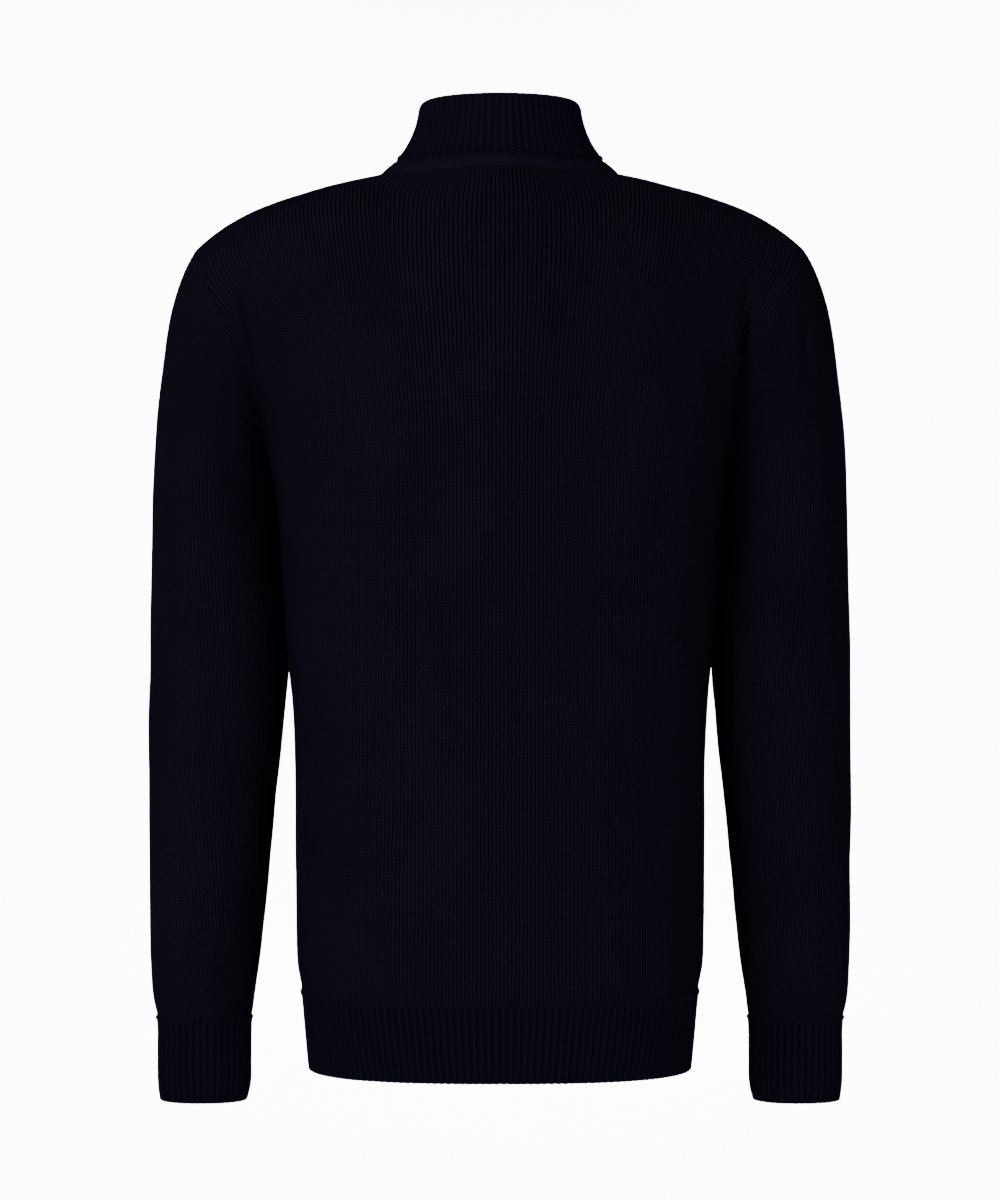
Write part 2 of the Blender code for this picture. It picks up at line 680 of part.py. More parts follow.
# Zip
def front_grid():
    """Outer points and normals at the left front edge and a little way in, from hem to collar top."""
    near = np.array([0.0, TAPE_SHARE])
    hem = [torso_row(z, near, -1) for z in hem_levels()[:0:-1]]
    body = body_surface(near, panel_heights()[:-1], -1)
    collar = collar_surface(np.array([0.0, TAPE_COLLAR_SHARE]), COLLAR_ROWS)[0]
    points = np.concatenate([hem, body, collar])
    return points, grid_normals(points)


def front_line(wanted):
    """Points midway between the front edges, and outward directions, at lengths from the hem."""
    points, normals = front_grid()
    points, normals = points[:, 0] * (0, 1, 1), unit(normals[:, 0] * (0, 1, 1))
    run = lengths_along(points)
    return at_lengths(points, run, wanted), unit(at_lengths(normals, run, wanted))


def front_length():
    return lengths_along(front_grid()[0][:, 0])[-1]


def add_sweep(name, centres, outward, sections, material):
    """A closed solid through one section at each centre. A section has (across, depth) corners."""
    points, faces = [], []
    size = len(sections[0])
    for centre, normal, section in zip(centres, outward, sections):
        points += [centre + np.array([across, 0, 0]) - normal * depth for across, depth in section]
    for row in range(len(centres) - 1):
        for k in range(size):
            beside = (k + 1) % size
            low, high = row * size, (row + 1) * size
            faces.append((low + k, low + beside, high + beside, high + k))
    faces.append(tuple(range(size)))
    faces.append(tuple(range(len(points) - size, len(points))))
    return add_object(name, points, faces, material)


def bar_section(left, right, depths):
    return ((left, depths[0]), (right, depths[0]), (right, depths[1]), (left, depths[1]))


def add_front_bar(name, start, end, left, right, depths, material):
    """A bar along the front line between two lengths."""
    rows = lengths_along(front_grid()[0][:, 0])
    between = rows[(rows > start + MIN_BAR_STEP) & (rows < end - MIN_BAR_STEP)]
    lengths = np.concatenate([[start], between, [end]])
    centres, outward = front_line(lengths)
    return add_sweep(name, centres, outward, [bar_section(left, right, depths)] * len(lengths), material)


def add_tapes(material):
    points, normals = front_grid()
    middle = points[:, :1].copy()
    middle[..., 0] = SEAM_GAP
    points = np.concatenate([middle, points], axis=1)
    normals = np.concatenate([normals[:, :1] * (0, 1, 1), normals], axis=1)
    outer, inner = (points - unit(normals) * depth for depth in TAPE_DEPTHS)
    add_wall("zip_tape_left", outer, inner, material)
    add_wall("zip_tape_right", mirrored(outer), mirrored(inner), material)


def slider_lengths():
    """Where the slider starts and ends along the front line."""
    end = front_length() - STOP_INSET - STOP_LENGTH - SEAM_GAP
    return end - SLIDER_LENGTH, end


def add_chain(material):
    slider_start, slider_end = slider_lengths()
    chain_start = BOX_LENGTH + 2 * SEAM_GAP
    width = CHAIN_HALF_WIDTH
    add_front_bar("zip_chain", chain_start, slider_end - 0.001, -width, width, CHAIN_DEPTHS, material)
    width = BOX_HALF_WIDTH
    add_front_bar("zip_box", SEAM_GAP, SEAM_GAP + BOX_LENGTH, -width, width, CHAIN_DEPTHS, material)
    start = slider_end + SEAM_GAP
    for name, left, right in (("left", SEAM_GAP, 0.0026), ("right", -0.0026, -SEAM_GAP)):
        add_front_bar("zip_stop_" + name, start, start + STOP_LENGTH, left, right, CHAIN_DEPTHS, material)


def add_rod(name, path, radius, sides, material):
    """A closed rod of the given radius along a path."""
    along = unit(np.gradient(path, axis=0))
    points, faces = [], []
    first = unit(np.cross(along, (0.3, 1.0, 0.2)))
    second = np.cross(along, first)
    for centre, u, v in zip(path, first, second):
        for k in range(sides):
            turn = 2 * math.pi * k / sides
            points.append(centre + radius * (math.cos(turn) * u + math.sin(turn) * v))
    for row in range(len(path) - 1):
        for k in range(sides):
            beside = (k + 1) % sides
            low, high = row * sides, (row + 1) * sides
            faces.append((low + k, low + beside, high + beside, high + k))
    faces.append(tuple(range(sides)))
    faces.append(tuple(range(len(points) - sides, len(points))))
    return add_object(name, points, faces, material)


def pin_frame():
    """The middle of the bail's pin, and the directions up along the zip and out from it."""
    start, end = slider_lengths()
    centre, outward = front_line([start, (start + end) / 2, end])
    upward = unit(centre[2] - centre[0])
    outward = np.cross(upward, (-1, 0, 0))
    outward *= -np.sign(outward[1])
    return centre[1] - outward * SLIDER_FRONT + outward * PIN_HEIGHT, upward, outward


def add_slider(material):
    """The slider's channel and its bail, in one solid."""
    start, end = slider_lengths()
    centres, _ = front_line([start, (start + end) / 2, end])
    pin, upward, outward = pin_frame()
    lengths = np.array([-0.5, 0.0, 0.5]) * SLIDER_LENGTH
    centres = centres[1] + lengths[:, None] * upward
    wide, narrow = SLIDER_HALF_WIDTH, SLIDER_HALF_WIDTH - SLIDER_FLANGE
    section = (
        (-wide, SLIDER_FRONT), (wide, SLIDER_FRONT), (wide, SLIDER_BACK), (narrow, SLIDER_BACK),
        (narrow, SLIDER_UNDER), (-narrow, SLIDER_UNDER), (-narrow, SLIDER_BACK), (-wide, SLIDER_BACK),
    )
    tapered = [(across * SLIDER_TAPER if abs(across) > narrow else across, depth) for across, depth in section]
    slider = add_sweep("zip_slider", centres, [outward] * 3, [tapered, section, section], material)
    leg = PIN_HEIGHT + 0.0006
    bend = 2 * PIN_RADIUS
    turns = np.linspace(0, math.pi / 2, 4)
    path = [(-PIN_HALF_WIDTH, -leg)]
    path += [(-PIN_HALF_WIDTH + bend * (1 - math.cos(a)), -bend * (1 - math.sin(a))) for a in turns]
    path += [(-across, rise) for across, rise in path[::-1]]
    path = np.array([pin + np.array([across, 0, 0]) + outward * rise for across, rise in path])
    bail = add_rod("bail", path, PIN_RADIUS, 8, material)
    bail.hide_render = True
    bail.hide_set(True)
    join = slider.modifiers.new("bail", "BOOLEAN")
    join.operation = "UNION"
    join.solver = "EXACT"
    join.object = bail
    return slider


def add_pull(material):
    """The pull tab: a hook round the bail's pin and a flat tab that hangs against the zip."""
    pin, upward, outward = pin_frame()
    turns = np.radians(np.linspace(215, 0, 11))
    path = [(HOOK_RADIUS * math.sin(a), HOOK_RADIUS * math.cos(a)) for a in turns]
    widths = [PULL_NECK_HALF_WIDTH] * len(path)
    for along, width in ((0.0035, PULL_NECK_HALF_WIDTH), (0.006, PULL_HALF_WIDTH), (0.9, PULL_HALF_WIDTH)):
        reach = along * PULL_LENGTH if along > 0.1 else along
        path.append((-reach * math.cos(PULL_TILT), HOOK_RADIUS - reach * math.sin(PULL_TILT)))
        widths.append(width)
    path.append((-PULL_LENGTH * math.cos(PULL_TILT), HOOK_RADIUS - PULL_LENGTH * math.sin(PULL_TILT)))
    widths.append(PULL_HALF_WIDTH * 0.6)
    centres = np.array([pin + upward * rise + outward * out for rise, out in path])
    along = unit(np.gradient(centres, axis=0))
    facing = unit(np.cross(along, (1, 0, 0)))
    half = PULL_THICKNESS / 2
    sections = [bar_section(-width, width, (-half, half)) for width in widths]
    return add_sweep("zip_pull", centres, facing, sections, material)


def main():
    clear_scene()
    plain = make_material("plain_knit", KNIT_COLOUR, 0.9)
    rib = make_material("rib_knit", RIB_COLOUR, 0.9)
    add_back(plain)
    add_fronts(plain)
    add_hem(rib)
    add_sleeves(plain)
    add_cuffs(rib)
    add_collar(rib)
    tape = make_material("zip_tape", TAPE_COLOUR, 0.8)
    metal = make_material("zip_metal", METAL_COLOUR, 0.35, 1.0)
    add_tapes(tape)
    add_chain(metal)
    add_slider(metal)
    add_pull(metal)


main()
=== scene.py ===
"""The looks of a ribbed zip cardigan in its worn, hollow form.

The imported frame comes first. Each knitted shell is a thin wall on the form of the solid that it
replaces, worked out from the same tables at a finer step, with its creases, ribs and stitches.
Metres, +Z up. The front faces -Y and the wearer's left side is at +X.
"""

import math
from collections import namedtuple

import bpy
import numpy as np
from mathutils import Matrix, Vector


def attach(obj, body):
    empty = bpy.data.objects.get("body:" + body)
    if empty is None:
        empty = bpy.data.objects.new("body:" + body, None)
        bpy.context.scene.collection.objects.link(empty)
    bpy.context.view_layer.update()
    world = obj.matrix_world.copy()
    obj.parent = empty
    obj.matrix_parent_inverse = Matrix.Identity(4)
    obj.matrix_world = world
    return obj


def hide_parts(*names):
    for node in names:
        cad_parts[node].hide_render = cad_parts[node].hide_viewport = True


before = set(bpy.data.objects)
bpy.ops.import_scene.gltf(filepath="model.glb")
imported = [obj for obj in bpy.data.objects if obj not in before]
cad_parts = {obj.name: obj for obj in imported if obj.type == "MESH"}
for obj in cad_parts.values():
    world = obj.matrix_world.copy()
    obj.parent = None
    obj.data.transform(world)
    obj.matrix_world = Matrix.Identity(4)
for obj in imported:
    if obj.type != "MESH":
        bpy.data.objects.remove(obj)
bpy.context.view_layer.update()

# Fine steps of the shells
NECK_COLUMNS = 36
NECK_CROWDING = 1.6
SHOULDER_COLUMNS = 80
LOWER_ROWS = 116
UPPER_ROWS = 80
SLEEVE_CAP_ROWS = 50
SLEEVE_ROWS = tuple(np.linspace(-0.2655, -0.6555, 112))
HEM_ROWS = tuple(np.linspace(0, 1, 14))
COLLAR_FOOT = 0.13
COLLAR_ROWS = (0.0, 0.05, 0.09) + tuple(np.linspace(COLLAR_FOOT, 1, 14))
RIB_STEPS = 8
INNER_STEP = 4
ROW_STEP = 0.004
RING_SAMPLES = 700

# Knit pitches
WALE = 0.0029
COURSE = 0.0022
RIB_PITCH = 0.0054
RIB_COURSE = 0.0023
STITCH_SLANT = 0.85

# Share of a wale between its grooves, and the relief of the stitches
KNIT_WIDTH = 0.94
KNIT_DEPTH = 0.00065
RIB_KNIT_WIDTH = 0.66
RIB_KNIT_DEPTH = 0.0004

# A stitch's legs: their place from the wale's middle to its groove, and their two slopes
LEG_PLACE = 0.45
LEG_INNER_SLOPE = 1.25
LEG_OUTER_SLOPE = 1.82
LEG_WAVE = 0.34
LEG_LEVEL = 0.64
# Gain and offset of the colour that the stitch height paints, which is painted shade in the grooves
TONE_GAIN = 2.8
TONE_LEVEL = -0.92

# How the wales lie on a body panel: spread at the shoulder, start and lean of the bend at the neck
WALE_SPREAD = 0.845
WALE_SPREAD_CUBED = 0.8
NECK_BEND_START = 1.855
NECK_BEND_LENGTH = 0.145
NECK_LEAN = 0.0140

# Long waves of the cloth: their depth, and how far the fronts' ones lie from the back's
RIPPLE_DEPTH = 0.0009
FRONT_SHIFT = 0.03

# Edges: rounding of a rib's free edge, and the inner rim's shift in the maps "knit" and "OFBake"
EDGE_ROUNDING = 0.0011
RIM_SHIFT = 0.002
RIM_STRIP = 0.006

# Cloth
PLAIN_CLOTH = 0.0020
RIB_CLOTH = 0.0024
RIB_RELIEF = 0.0010
SEAM_GAP = 0.0004
LINK_GAP = 0.0001

# Levels
HEM_Z = -0.693
HEM_SEAM_Z = -0.633
UNDERARM_Z = -0.235
CUFF_SEAM_Z = -0.659
CUFF_Z = -0.725

# Ribs, counted at their pitch of about 5.4 mm
HEM_BACK_RIBS = 82
HEM_FRONT_RIBS = 40
CUFF_RIBS = 40
COLLAR_RIBS = 88

# Neck and shoulder
NECK_HALF_WIDTH = 0.094
NECK_BACK_Y = 0.076
NECK_FRONT_Y = -0.100
NECK_CROWN = 0.030
NECK_ROUNDNESS = 1.75
SHOULDER_X = 0.237
SHOULDER_STRAIGHT_DROP = 0.030
SHOULDER_CURVED_DROP = 0.027

# Collar top edge
COLLAR_HALF_WIDTH = 0.0625
COLLAR_BACK_Y = 0.061
COLLAR_FRONT_Y = -0.087
COLLAR_Z = 0.0572
COLLAR_FRONT_Z = -0.004

# The collar's plain band: its rows, its roll and how far its two edges sink, and the ribs above it
BAND_ROWS = 6
BAND_ROLL = 0.0011
BAND_ENDS = (-0.0012, -0.0010)
COLLAR_RIB_LENGTH = 0.055
RIB_START = 0.03

# Linked seams: loop pitch, half sizes of loops, holes and marks, and marks on an armhole
LOOP_PITCH = 0.0027
COLLAR_LOOP_PITCH = 0.0036
LOOP_RISE = 0.0001
LOOP_SIZE = (0.0010, 0.0012, 0.0008)
HOLE_RISE = 0.0004
HOLE_STAGGER = 0.0006
HOLE_SIZE = (0.0007, 0.0007, 0.0004)
MARK_COUNT = 15
MARK_HEIGHTS = (0.16, 0.90)
MARK_RISE = 0.0004
MARK_SIZE = (0.0030, 0.0009, 0.0008)
# A mark's gap is a dark bead of painted shade, shifted along the seam and sunk a little
MARK_GAP_SHIFT = 0.0018
MARK_GAP_SINK = 0.0002
MARK_GAP_SIZE = (0.0016, 0.0005, 0.0003)
BEAD_RINGS = 5
BEAD_SIDES = 8

# Zip
FRONT_EDGE_X = 0.0055
TAPE_SHARE = 0.030
TAPE_COLLAR_SHARE = 0.0115
TAPE_DEPTHS = (0.0028, 0.0036)
BOX_LENGTH = 0.009
STOP_INSET = 0.004
STOP_LENGTH = 0.0025
TOOTH_PITCH = 0.00135
TOOTH_CLEARANCE = 0.0015
TOOTH_INNER_X = 0.0008
TOOTH_STRETCH = 1.05

# A tooth's outline, across in metres and along in pitches, and its layers: depth and inset
TOOTH_OUTLINE = (
    (-0.0009, 0.42),
    (0.0006, 0.42),
    (0.0014, 0.30),
    (0.0026, 0.36),
    (0.0026, -0.36),
    (0.0014, -0.30),
    (0.0006, -0.42),
    (-0.0009, -0.42),
)
TOOTH_LAYERS = ((0.0002, 0.75), (0.0006, 1.0), (0.0020, 1.0), (0.0024, 0.75))

# The torso: its half width at the side seams and its depth behind and before them
TorsoRow = namedtuple("TorsoRow", "z half_width back front")
TORSO = (
    TorsoRow(-0.693, 0.1480, 0.108, 0.114),
    TorsoRow(-0.675, 0.1497, 0.116, 0.122),
    TorsoRow(-0.650, 0.1518, 0.124, 0.130),
    TorsoRow(-0.633, 0.1535, 0.128, 0.134),
    TorsoRow(-0.612, 0.1570, 0.133, 0.138),
    TorsoRow(-0.585, 0.1582, 0.133, 0.138),
    TorsoRow(-0.500, 0.1590, 0.128, 0.134),
    TorsoRow(-0.430, 0.1602, 0.126, 0.132),
    TorsoRow(-0.380, 0.1640, 0.128, 0.132),
    TorsoRow(-0.330, 0.1680, 0.131, 0.133),
    TorsoRow(-0.235, 0.1770, 0.136, 0.136),
)
TORSO_SQUARENESS = 2.6

# The sleeve below the underarm: inner and outer edge, middle and half depth
SleeveRow = namedtuple("SleeveRow", "z inner outer middle_y half_depth")
SLEEVE = (
    SleeveRow(-0.725, 0.2010, 0.2680, -0.040, 0.0285),
    SleeveRow(-0.715, 0.1985, 0.2695, -0.040, 0.0305),
    SleeveRow(-0.690, 0.1975, 0.2698, -0.038, 0.0320),
    SleeveRow(-0.659, 0.1965, 0.2705, -0.036, 0.0340),
    SleeveRow(-0.645, 0.1945, 0.2735, -0.035, 0.0375),
    SleeveRow(-0.620, 0.1905, 0.2755, -0.032, 0.0420),
    SleeveRow(-0.560, 0.1835, 0.2755, -0.026, 0.0480),
    SleeveRow(-0.480, 0.1755, 0.2755, -0.020, 0.0540),
    SleeveRow(-0.430, 0.1700, 0.2752, -0.018, 0.0580),
    SleeveRow(-0.380, 0.1665, 0.2745, -0.017, 0.0620),
    SleeveRow(-0.330, 0.1698, 0.2735, -0.016, 0.0655),
    SleeveRow(-0.262, 0.1775, 0.2715, -0.012, 0.0700),
)
SLEEVE_SQUARENESS = 2.2
SLEEVE_TOP_Z = -0.262

# Directions of the curves that run from the underarm level over the shoulder
Panel = namedtuple("Panel", "start_reach centre_end neck_end armhole_start armhole_end")
BACK_PANEL = Panel(
    start_reach=0.24,
    centre_end=(0.0, -0.390, 0.067),
    neck_end=(0.0, -0.260, -0.035),
    armhole_start=(0.000, 0.260, 0.100),
    armhole_end=(0.020, -0.200, 0.050),
)
FRONT_PANEL = Panel(
    start_reach=0.20,
    centre_end=(0.0, 0.362, 0.239),
    neck_end=(0.0, 0.260, 0.040),
    armhole_start=(-0.020, -0.240, 0.100),
    armhole_end=(0.050, 0.190, 0.050),
)

# Large soft folds: from and to in panel shares (across, up), radius and depth
Fold = namedtuple("Fold", "across_from up_from across_to up_to radius depth")
BACK_FOLDS = (
    Fold(-0.86, 1.62, -0.93, 1.25, 0.075, 0.0070),
    Fold(0.88, 1.66, 0.93, 1.25, 0.070, 0.0040),
    Fold(0.45, 0.65, 0.10, 0.05, 0.070, 0.0022),
    Fold(0.15, 0.60, -0.12, 0.10, 0.060, 0.0016),
    Fold(-0.55, 0.70, -0.60, 0.15, 0.090, 0.0014),
)
FRONT_FOLDS = (
    Fold(0.86, 1.62, 0.92, 1.25, 0.075, 0.0050),
    Fold(0.60, 0.75, 0.45, 0.10, 0.090, 0.0018),
)
SLEEVE_FOLDS = (
    Fold(0.10, 0.10, 0.13, 0.42, 0.045, 0.0030),
    Fold(0.62, 0.45, 0.80, 0.52, 0.060, 0.0035),
    Fold(0.40, 0.80, 0.20, 0.97, 0.045, 0.0025),
)


# Curves and surfaces
def hermite(start, end, start_slope, end_slope, t):
    """The cubic curve between two points with the given directions at its ends."""
    return (
        (2 * t**3 - 3 * t**2 + 1) * start
        + (t**3 - 2 * t**2 + t) * start_slope
        + (3 * t**2 - 2 * t**3) * end
        + (t**3 - t**2) * end_slope
    )


def read_table(rows, column, z):
    """A smooth curve through one column of a table, read at the levels z."""
    levels = np.array([row.z for row in rows])
    values = np.array([getattr(row, column) for row in rows])
    z = np.asarray(z, float)
    slopes = np.gradient(values, levels)
    i = np.clip(np.searchsorted(levels, z) - 1, 0, len(levels) - 2)
    span = levels[i + 1] - levels[i]
    return hermite(values[i], values[i + 1], slopes[i] * span, slopes[i + 1] * span, (z - levels[i]) / span)


def unit(vectors):
    return vectors / np.linalg.norm(vectors, axis=-1, keepdims=True)


def lengths_along(points):
    """The distance run along a line of points, from 0 at its first."""
    steps = np.linalg.norm(np.diff(points, axis=0), axis=1)
    return np.concatenate([[0.0], np.cumsum(steps)])


def at_lengths(points, run, wanted):
    return np.stack([np.interp(wanted, run, points[:, axis]) for axis in range(3)], axis=-1)


def quarter_ring(z, face):
    """Half of one side of the torso at level z, from the centre line to the side seam."""
    half_width = float(read_table(TORSO, "half_width", z))
    depth = float(read_table(TORSO, "back" if face > 0 else "front", z))
    angle = np.linspace(0, math.pi / 2, RING_SAMPLES)
    power = 2 / TORSO_SQUARENESS
    x = half_width * np.sin(angle) ** power
    y = face * depth * np.cos(angle).clip(0) ** power
    return np.stack([x, y, np.full_like(x, z)], axis=-1)


def torso_row(z, shares, face):
    """Points of the torso at level z, at shares of the way from the panel's middle edge to the side."""
    ring = quarter_ring(z, face)
    run = lengths_along(ring)
    first = 0.0 if face > 0 else np.interp(FRONT_EDGE_X, ring[:, 0], run)
    last = run[-1] - LINK_GAP / 2
    return at_lengths(ring, run, first + np.asarray(shares) * (last - first))


def shoulder_height(x):
    """The level of the shoulder line at x, run on over the neck hole as a smooth crown."""
    t = (x - NECK_HALF_WIDTH) / (SHOULDER_X - NECK_HALF_WIDTH)
    slope = -SHOULDER_STRAIGHT_DROP / (SHOULDER_X - NECK_HALF_WIDTH)
    from_edge = 1 - (x / NECK_HALF_WIDTH) ** 2
    over_neck = NECK_CROWN * from_edge**2 - slope * NECK_HALF_WIDTH / 2 * from_edge
    shoulder = -SHOULDER_STRAIGHT_DROP * t - SHOULDER_CURVED_DROP * t.clip(0) ** 4
    return np.where(x < NECK_HALF_WIDTH, over_neck, shoulder)


def first_x(face):
    """Where a panel's columns start: the centre line of the back, or the edge of a front."""
    return 0.0 if face > 0 else FRONT_EDGE_X


def neck_share(face):
    """The share of a panel's width that ends at the neck."""
    return (NECK_HALF_WIDTH - first_x(face)) / (SHOULDER_X - first_x(face))


def end_directions(shares, face, panel):
    """The directions of the columns at their upper ends, eased from the centre to the armhole."""
    centre, neck, armhole = (np.array(v) for v in (panel.centre_end, panel.neck_end, panel.armhole_end))
    at_neck = neck_share(face)
    inside = (shares / at_neck).clip(0, 1)
    near_neck = (1 - (1 - inside**2) ** 4)[:, None]
    outside = ((shares - at_neck) / (1 - at_neck)).clip(0, 1)
    near_armhole = (outside**2 * (3 - 2 * outside))[:, None]
    return centre + (neck - centre) * near_neck + (armhole - neck) * near_armhole


def upper_columns(shares, face):
    """The ends and directions of the curves that run from the underarm level over the shoulder."""
    panel = BACK_PANEL if face > 0 else FRONT_PANEL
    bottom = torso_row(UNDERARM_Z, shares, face)
    below = torso_row(UNDERARM_Z - 0.01, shares, face)
    corner = (shares**6)[:, None]
    start = (bottom - below) / 0.01 * panel.start_reach * (1 - corner)
    start = start + np.array(panel.armhole_start) * corner
    x = first_x(face) + (SHOULDER_X - first_x(face)) * shares
    top = np.stack([x, np.zeros_like(x), shoulder_height(x)], axis=-1)
    return bottom, top, start, end_directions(shares, face, panel)


def neck_cut(columns, face):
    """How far up its curve each column meets the neck hole, a slightly pointed oval from above."""
    reach, power = (NECK_BACK_Y, NECK_ROUNDNESS) if face > 0 else (NECK_FRONT_Y, 2)
    low, high = np.full(len(columns[0]), 0.3), np.ones(len(columns[0]))
    for _ in range(30):
        middle = (low + high) / 2
        points = hermite(*columns, middle[:, None])
        x, y = points[:, 0] / NECK_HALF_WIDTH, (points[:, 1] / reach).clip(0)
        outside = x**power + y**power > 1
        low = np.where(outside, middle, low)
        high = np.where(outside, high, middle)
    return np.where(high > 0.999, 1.0, high)


def upper_panel(shares, heights, face):
    """The panel above the underarm, from its level, 0, to the neck or shoulder edge, 1."""
    columns = upper_columns(shares, face)
    t = np.asarray(heights)[:, None, None] * neck_cut(columns, face)[None, :, None]
    return hermite(*(part[None] for part in columns), t)


def body_surface(shares, heights, face):
    """Outer points of the left half of the back (face 1) or of the left front (face -1).

    shares run from the centre line or front edge, 0, to the side or armhole, 1. heights run
    from the hem seam, 0, to the underarm, 1, and on to the neck and shoulder, 2.
    """
    shares, heights = np.asarray(shares, float), np.asarray(heights, float)
    rows = []
    for height in heights[heights <= 1]:
        z = HEM_SEAM_Z + height * (UNDERARM_Z - HEM_SEAM_Z)
        rows.append(torso_row(z, shares, face))
    upper = heights[heights > 1] - 1
    if len(upper):
        rows.extend(upper_panel(shares, upper, face))
    return np.array(rows)


def grid_normals(points, closed=False):
    """Unit normals of a grid of points, on the side that its two directions give."""
    if closed:
        across = np.roll(points, -1, axis=1) - np.roll(points, 1, axis=1)
    else:
        across = np.gradient(points, axis=1)
    up = np.gradient(points, axis=0)
    return unit(np.cross(across, up))


def fold_depth(folds, across, up):
    """How far the folds press the cloth in, at each column and row."""
    total = np.zeros((len(up), len(across)))
    across, up = np.meshgrid(across, up)
    for fold in folds:
        run = np.array([fold.across_to - fold.across_from, fold.up_to - fold.up_from])
        offset = np.stack([across - fold.across_from, up - fold.up_from], axis=-1)
        t = np.clip(offset @ run / (run @ run), 0, 1)
        away = np.linalg.norm(offset - t[..., None] * run, axis=-1)
        total += fold.depth * np.exp(-((away / fold.radius) ** 2)) * np.sin(math.pi * (0.15 + 0.7 * t))
    return total


# Seams
def armhole_seam(heights, face):
    """Points, crossing directions and normals along the armhole, from the underarm to the tip."""
    step = 0.002
    side = np.array([1.0])
    line = upper_panel(side, heights, face)[:, 0]
    before = upper_panel(side, np.clip(heights - step, 0, 1), face)[:, 0]
    after = upper_panel(side, np.clip(heights + step, 0, 1), face)[:, 0]
    line[:, 1] -= np.interp(heights, [0, 0.15], [line[0, 1], 0])
    along = unit(after - before)
    crossing = np.stack([np.ones_like(heights), 0 * heights, -1.9 * heights**2], axis=-1)
    along[[0, -1]] = along[[0, -1]] * (0, 1, 0)
    along = unit(along)
    crossing = unit(crossing - (crossing * along).sum(1, keepdims=True) * along)
    normal = face * np.cross(along, crossing)
    return line, crossing, unit(normal)


def neck_seam(points):
    """Crossing directions, from body to collar, and normals along a line of neck points."""
    plan = points[:, :2]
    turn = np.arctan2(plan[:, 1], np.abs(plan[:, 0]))
    rise = np.radians(np.interp(turn, [-math.pi / 2, 0, math.pi / 2], [70, 30, 62]))
    inward = -unit(plan)
    crossing = np.column_stack([inward * np.cos(rise)[:, None], np.sin(rise)])
    along = np.gradient(points, axis=0)
    level = np.abs(points[:, 1]) < 1e-6
    along[level] = (0, 1, 0)
    along[np.abs(points[:, 0]) < 1.01 * FRONT_EDGE_X] *= (1, 0, 0)
    along = unit(along)
    crossing = unit(crossing - (crossing * along).sum(1, keepdims=True) * along)
    normal = np.cross(along, crossing)
    outward = np.column_stack([-inward, np.full(len(points), 0.3)])
    normal *= np.sign((normal * outward).sum(1, keepdims=True))
    return crossing, unit(normal)


def panel_columns(face):
    """Shares of a panel's columns, closer together at the side of the neck."""
    along = 1 - (1 - np.linspace(0, 1, NECK_COLUMNS + 1)) ** NECK_CROWDING
    neck = along * neck_share(face)
    shoulder = np.linspace(neck[-1], 1, SHOULDER_COLUMNS + 1)
    return np.concatenate([neck, shoulder[1:]])


def panel_heights():
    lower = np.linspace(0, 1, LOWER_ROWS + 1)
    upper = np.linspace(1, 2, UPPER_ROWS + 1)
    return np.concatenate([lower, upper[1:]])


def half_panel(face):
    """Outer points of the left half of the back, or of the left front, and its seams' normals.

    The seams' normals are those that the neighbouring pieces share. They are zero elsewhere.
    """
    shares, heights = panel_columns(face), panel_heights()
    outer = body_surface(shares, heights, face)
    normals = -face * grid_normals(outer)
    seams = np.zeros_like(outer)
    underarm, top = LOWER_ROWS, len(heights) - 1
    on_neck = np.arange(len(shares)) <= NECK_COLUMNS
    seams[0] = normals[0] * (1, 1, 0)
    seams[:underarm, -1] = normals[:underarm, -1] * (1, 0, 1)

    line, crossing, normal = armhole_seam(heights[underarm:] - 1, face)
    outer[underarm:, -1] = line - crossing * LINK_GAP / 2
    outer[underarm, -1] += (0, face * LINK_GAP / 2, 0)
    seams[underarm:, -1] = normal

    slope = np.gradient(outer[top, NECK_COLUMNS:], axis=0)[1:]
    outer[top, ~on_neck, 1] = face * LINK_GAP / 2
    seams[top, ~on_neck] = np.column_stack([-slope[:, 2], 0 * slope[:, 2], slope[:, 0]])
    seams[top, -1] = normal[-1]

    across, neck_normal = neck_seam(outer[top, on_neck])
    outer[top, on_neck] -= across * LINK_GAP / 2
    outer[top, NECK_COLUMNS, 1] = face * LINK_GAP / 2
    seams[top, on_neck] = neck_normal
    return outer, seams


def seam_fade(shares, side, top):
    """1 on a panel's open cloth, eased to 0 at its side and upper seams over these shares."""
    heights = panel_heights()
    free = np.clip((1 - np.abs(shares)) / side, 0, 1) * np.clip(heights / 0.08, 0, 1)[:, None]
    return free * np.clip((2 - heights) / top, 0, 1)[:, None]


def fold_panel(outer, seams, shares, facing, folds):
    """Outer and inner points of a panel with its folds pressed in. The folds fade at its seams."""
    heights = panel_heights()
    depth = fold_depth(folds, shares, heights) * seam_fade(shares, 0.05, 0.15)
    outer = outer - facing * grid_normals(outer) * depth[..., None]
    normals = facing * grid_normals(outer)
    at_seam = np.any(seams != 0, axis=-1)
    normals[at_seam] = seams[at_seam]
    return outer, outer - unit(normals) * PLAIN_CLOTH


def mirrored(points):
    return points * (-1, 1, 1)


def whole(half):
    """A grid's left half together with its mirror image."""
    return np.concatenate([mirrored(half[:, :0:-1]), half], axis=1)


def hem_levels():
    """The levels of the hem's rows, from its seam down."""
    return HEM_SEAM_Z - LINK_GAP + np.array(HEM_ROWS) * (HEM_Z - HEM_SEAM_Z + LINK_GAP)


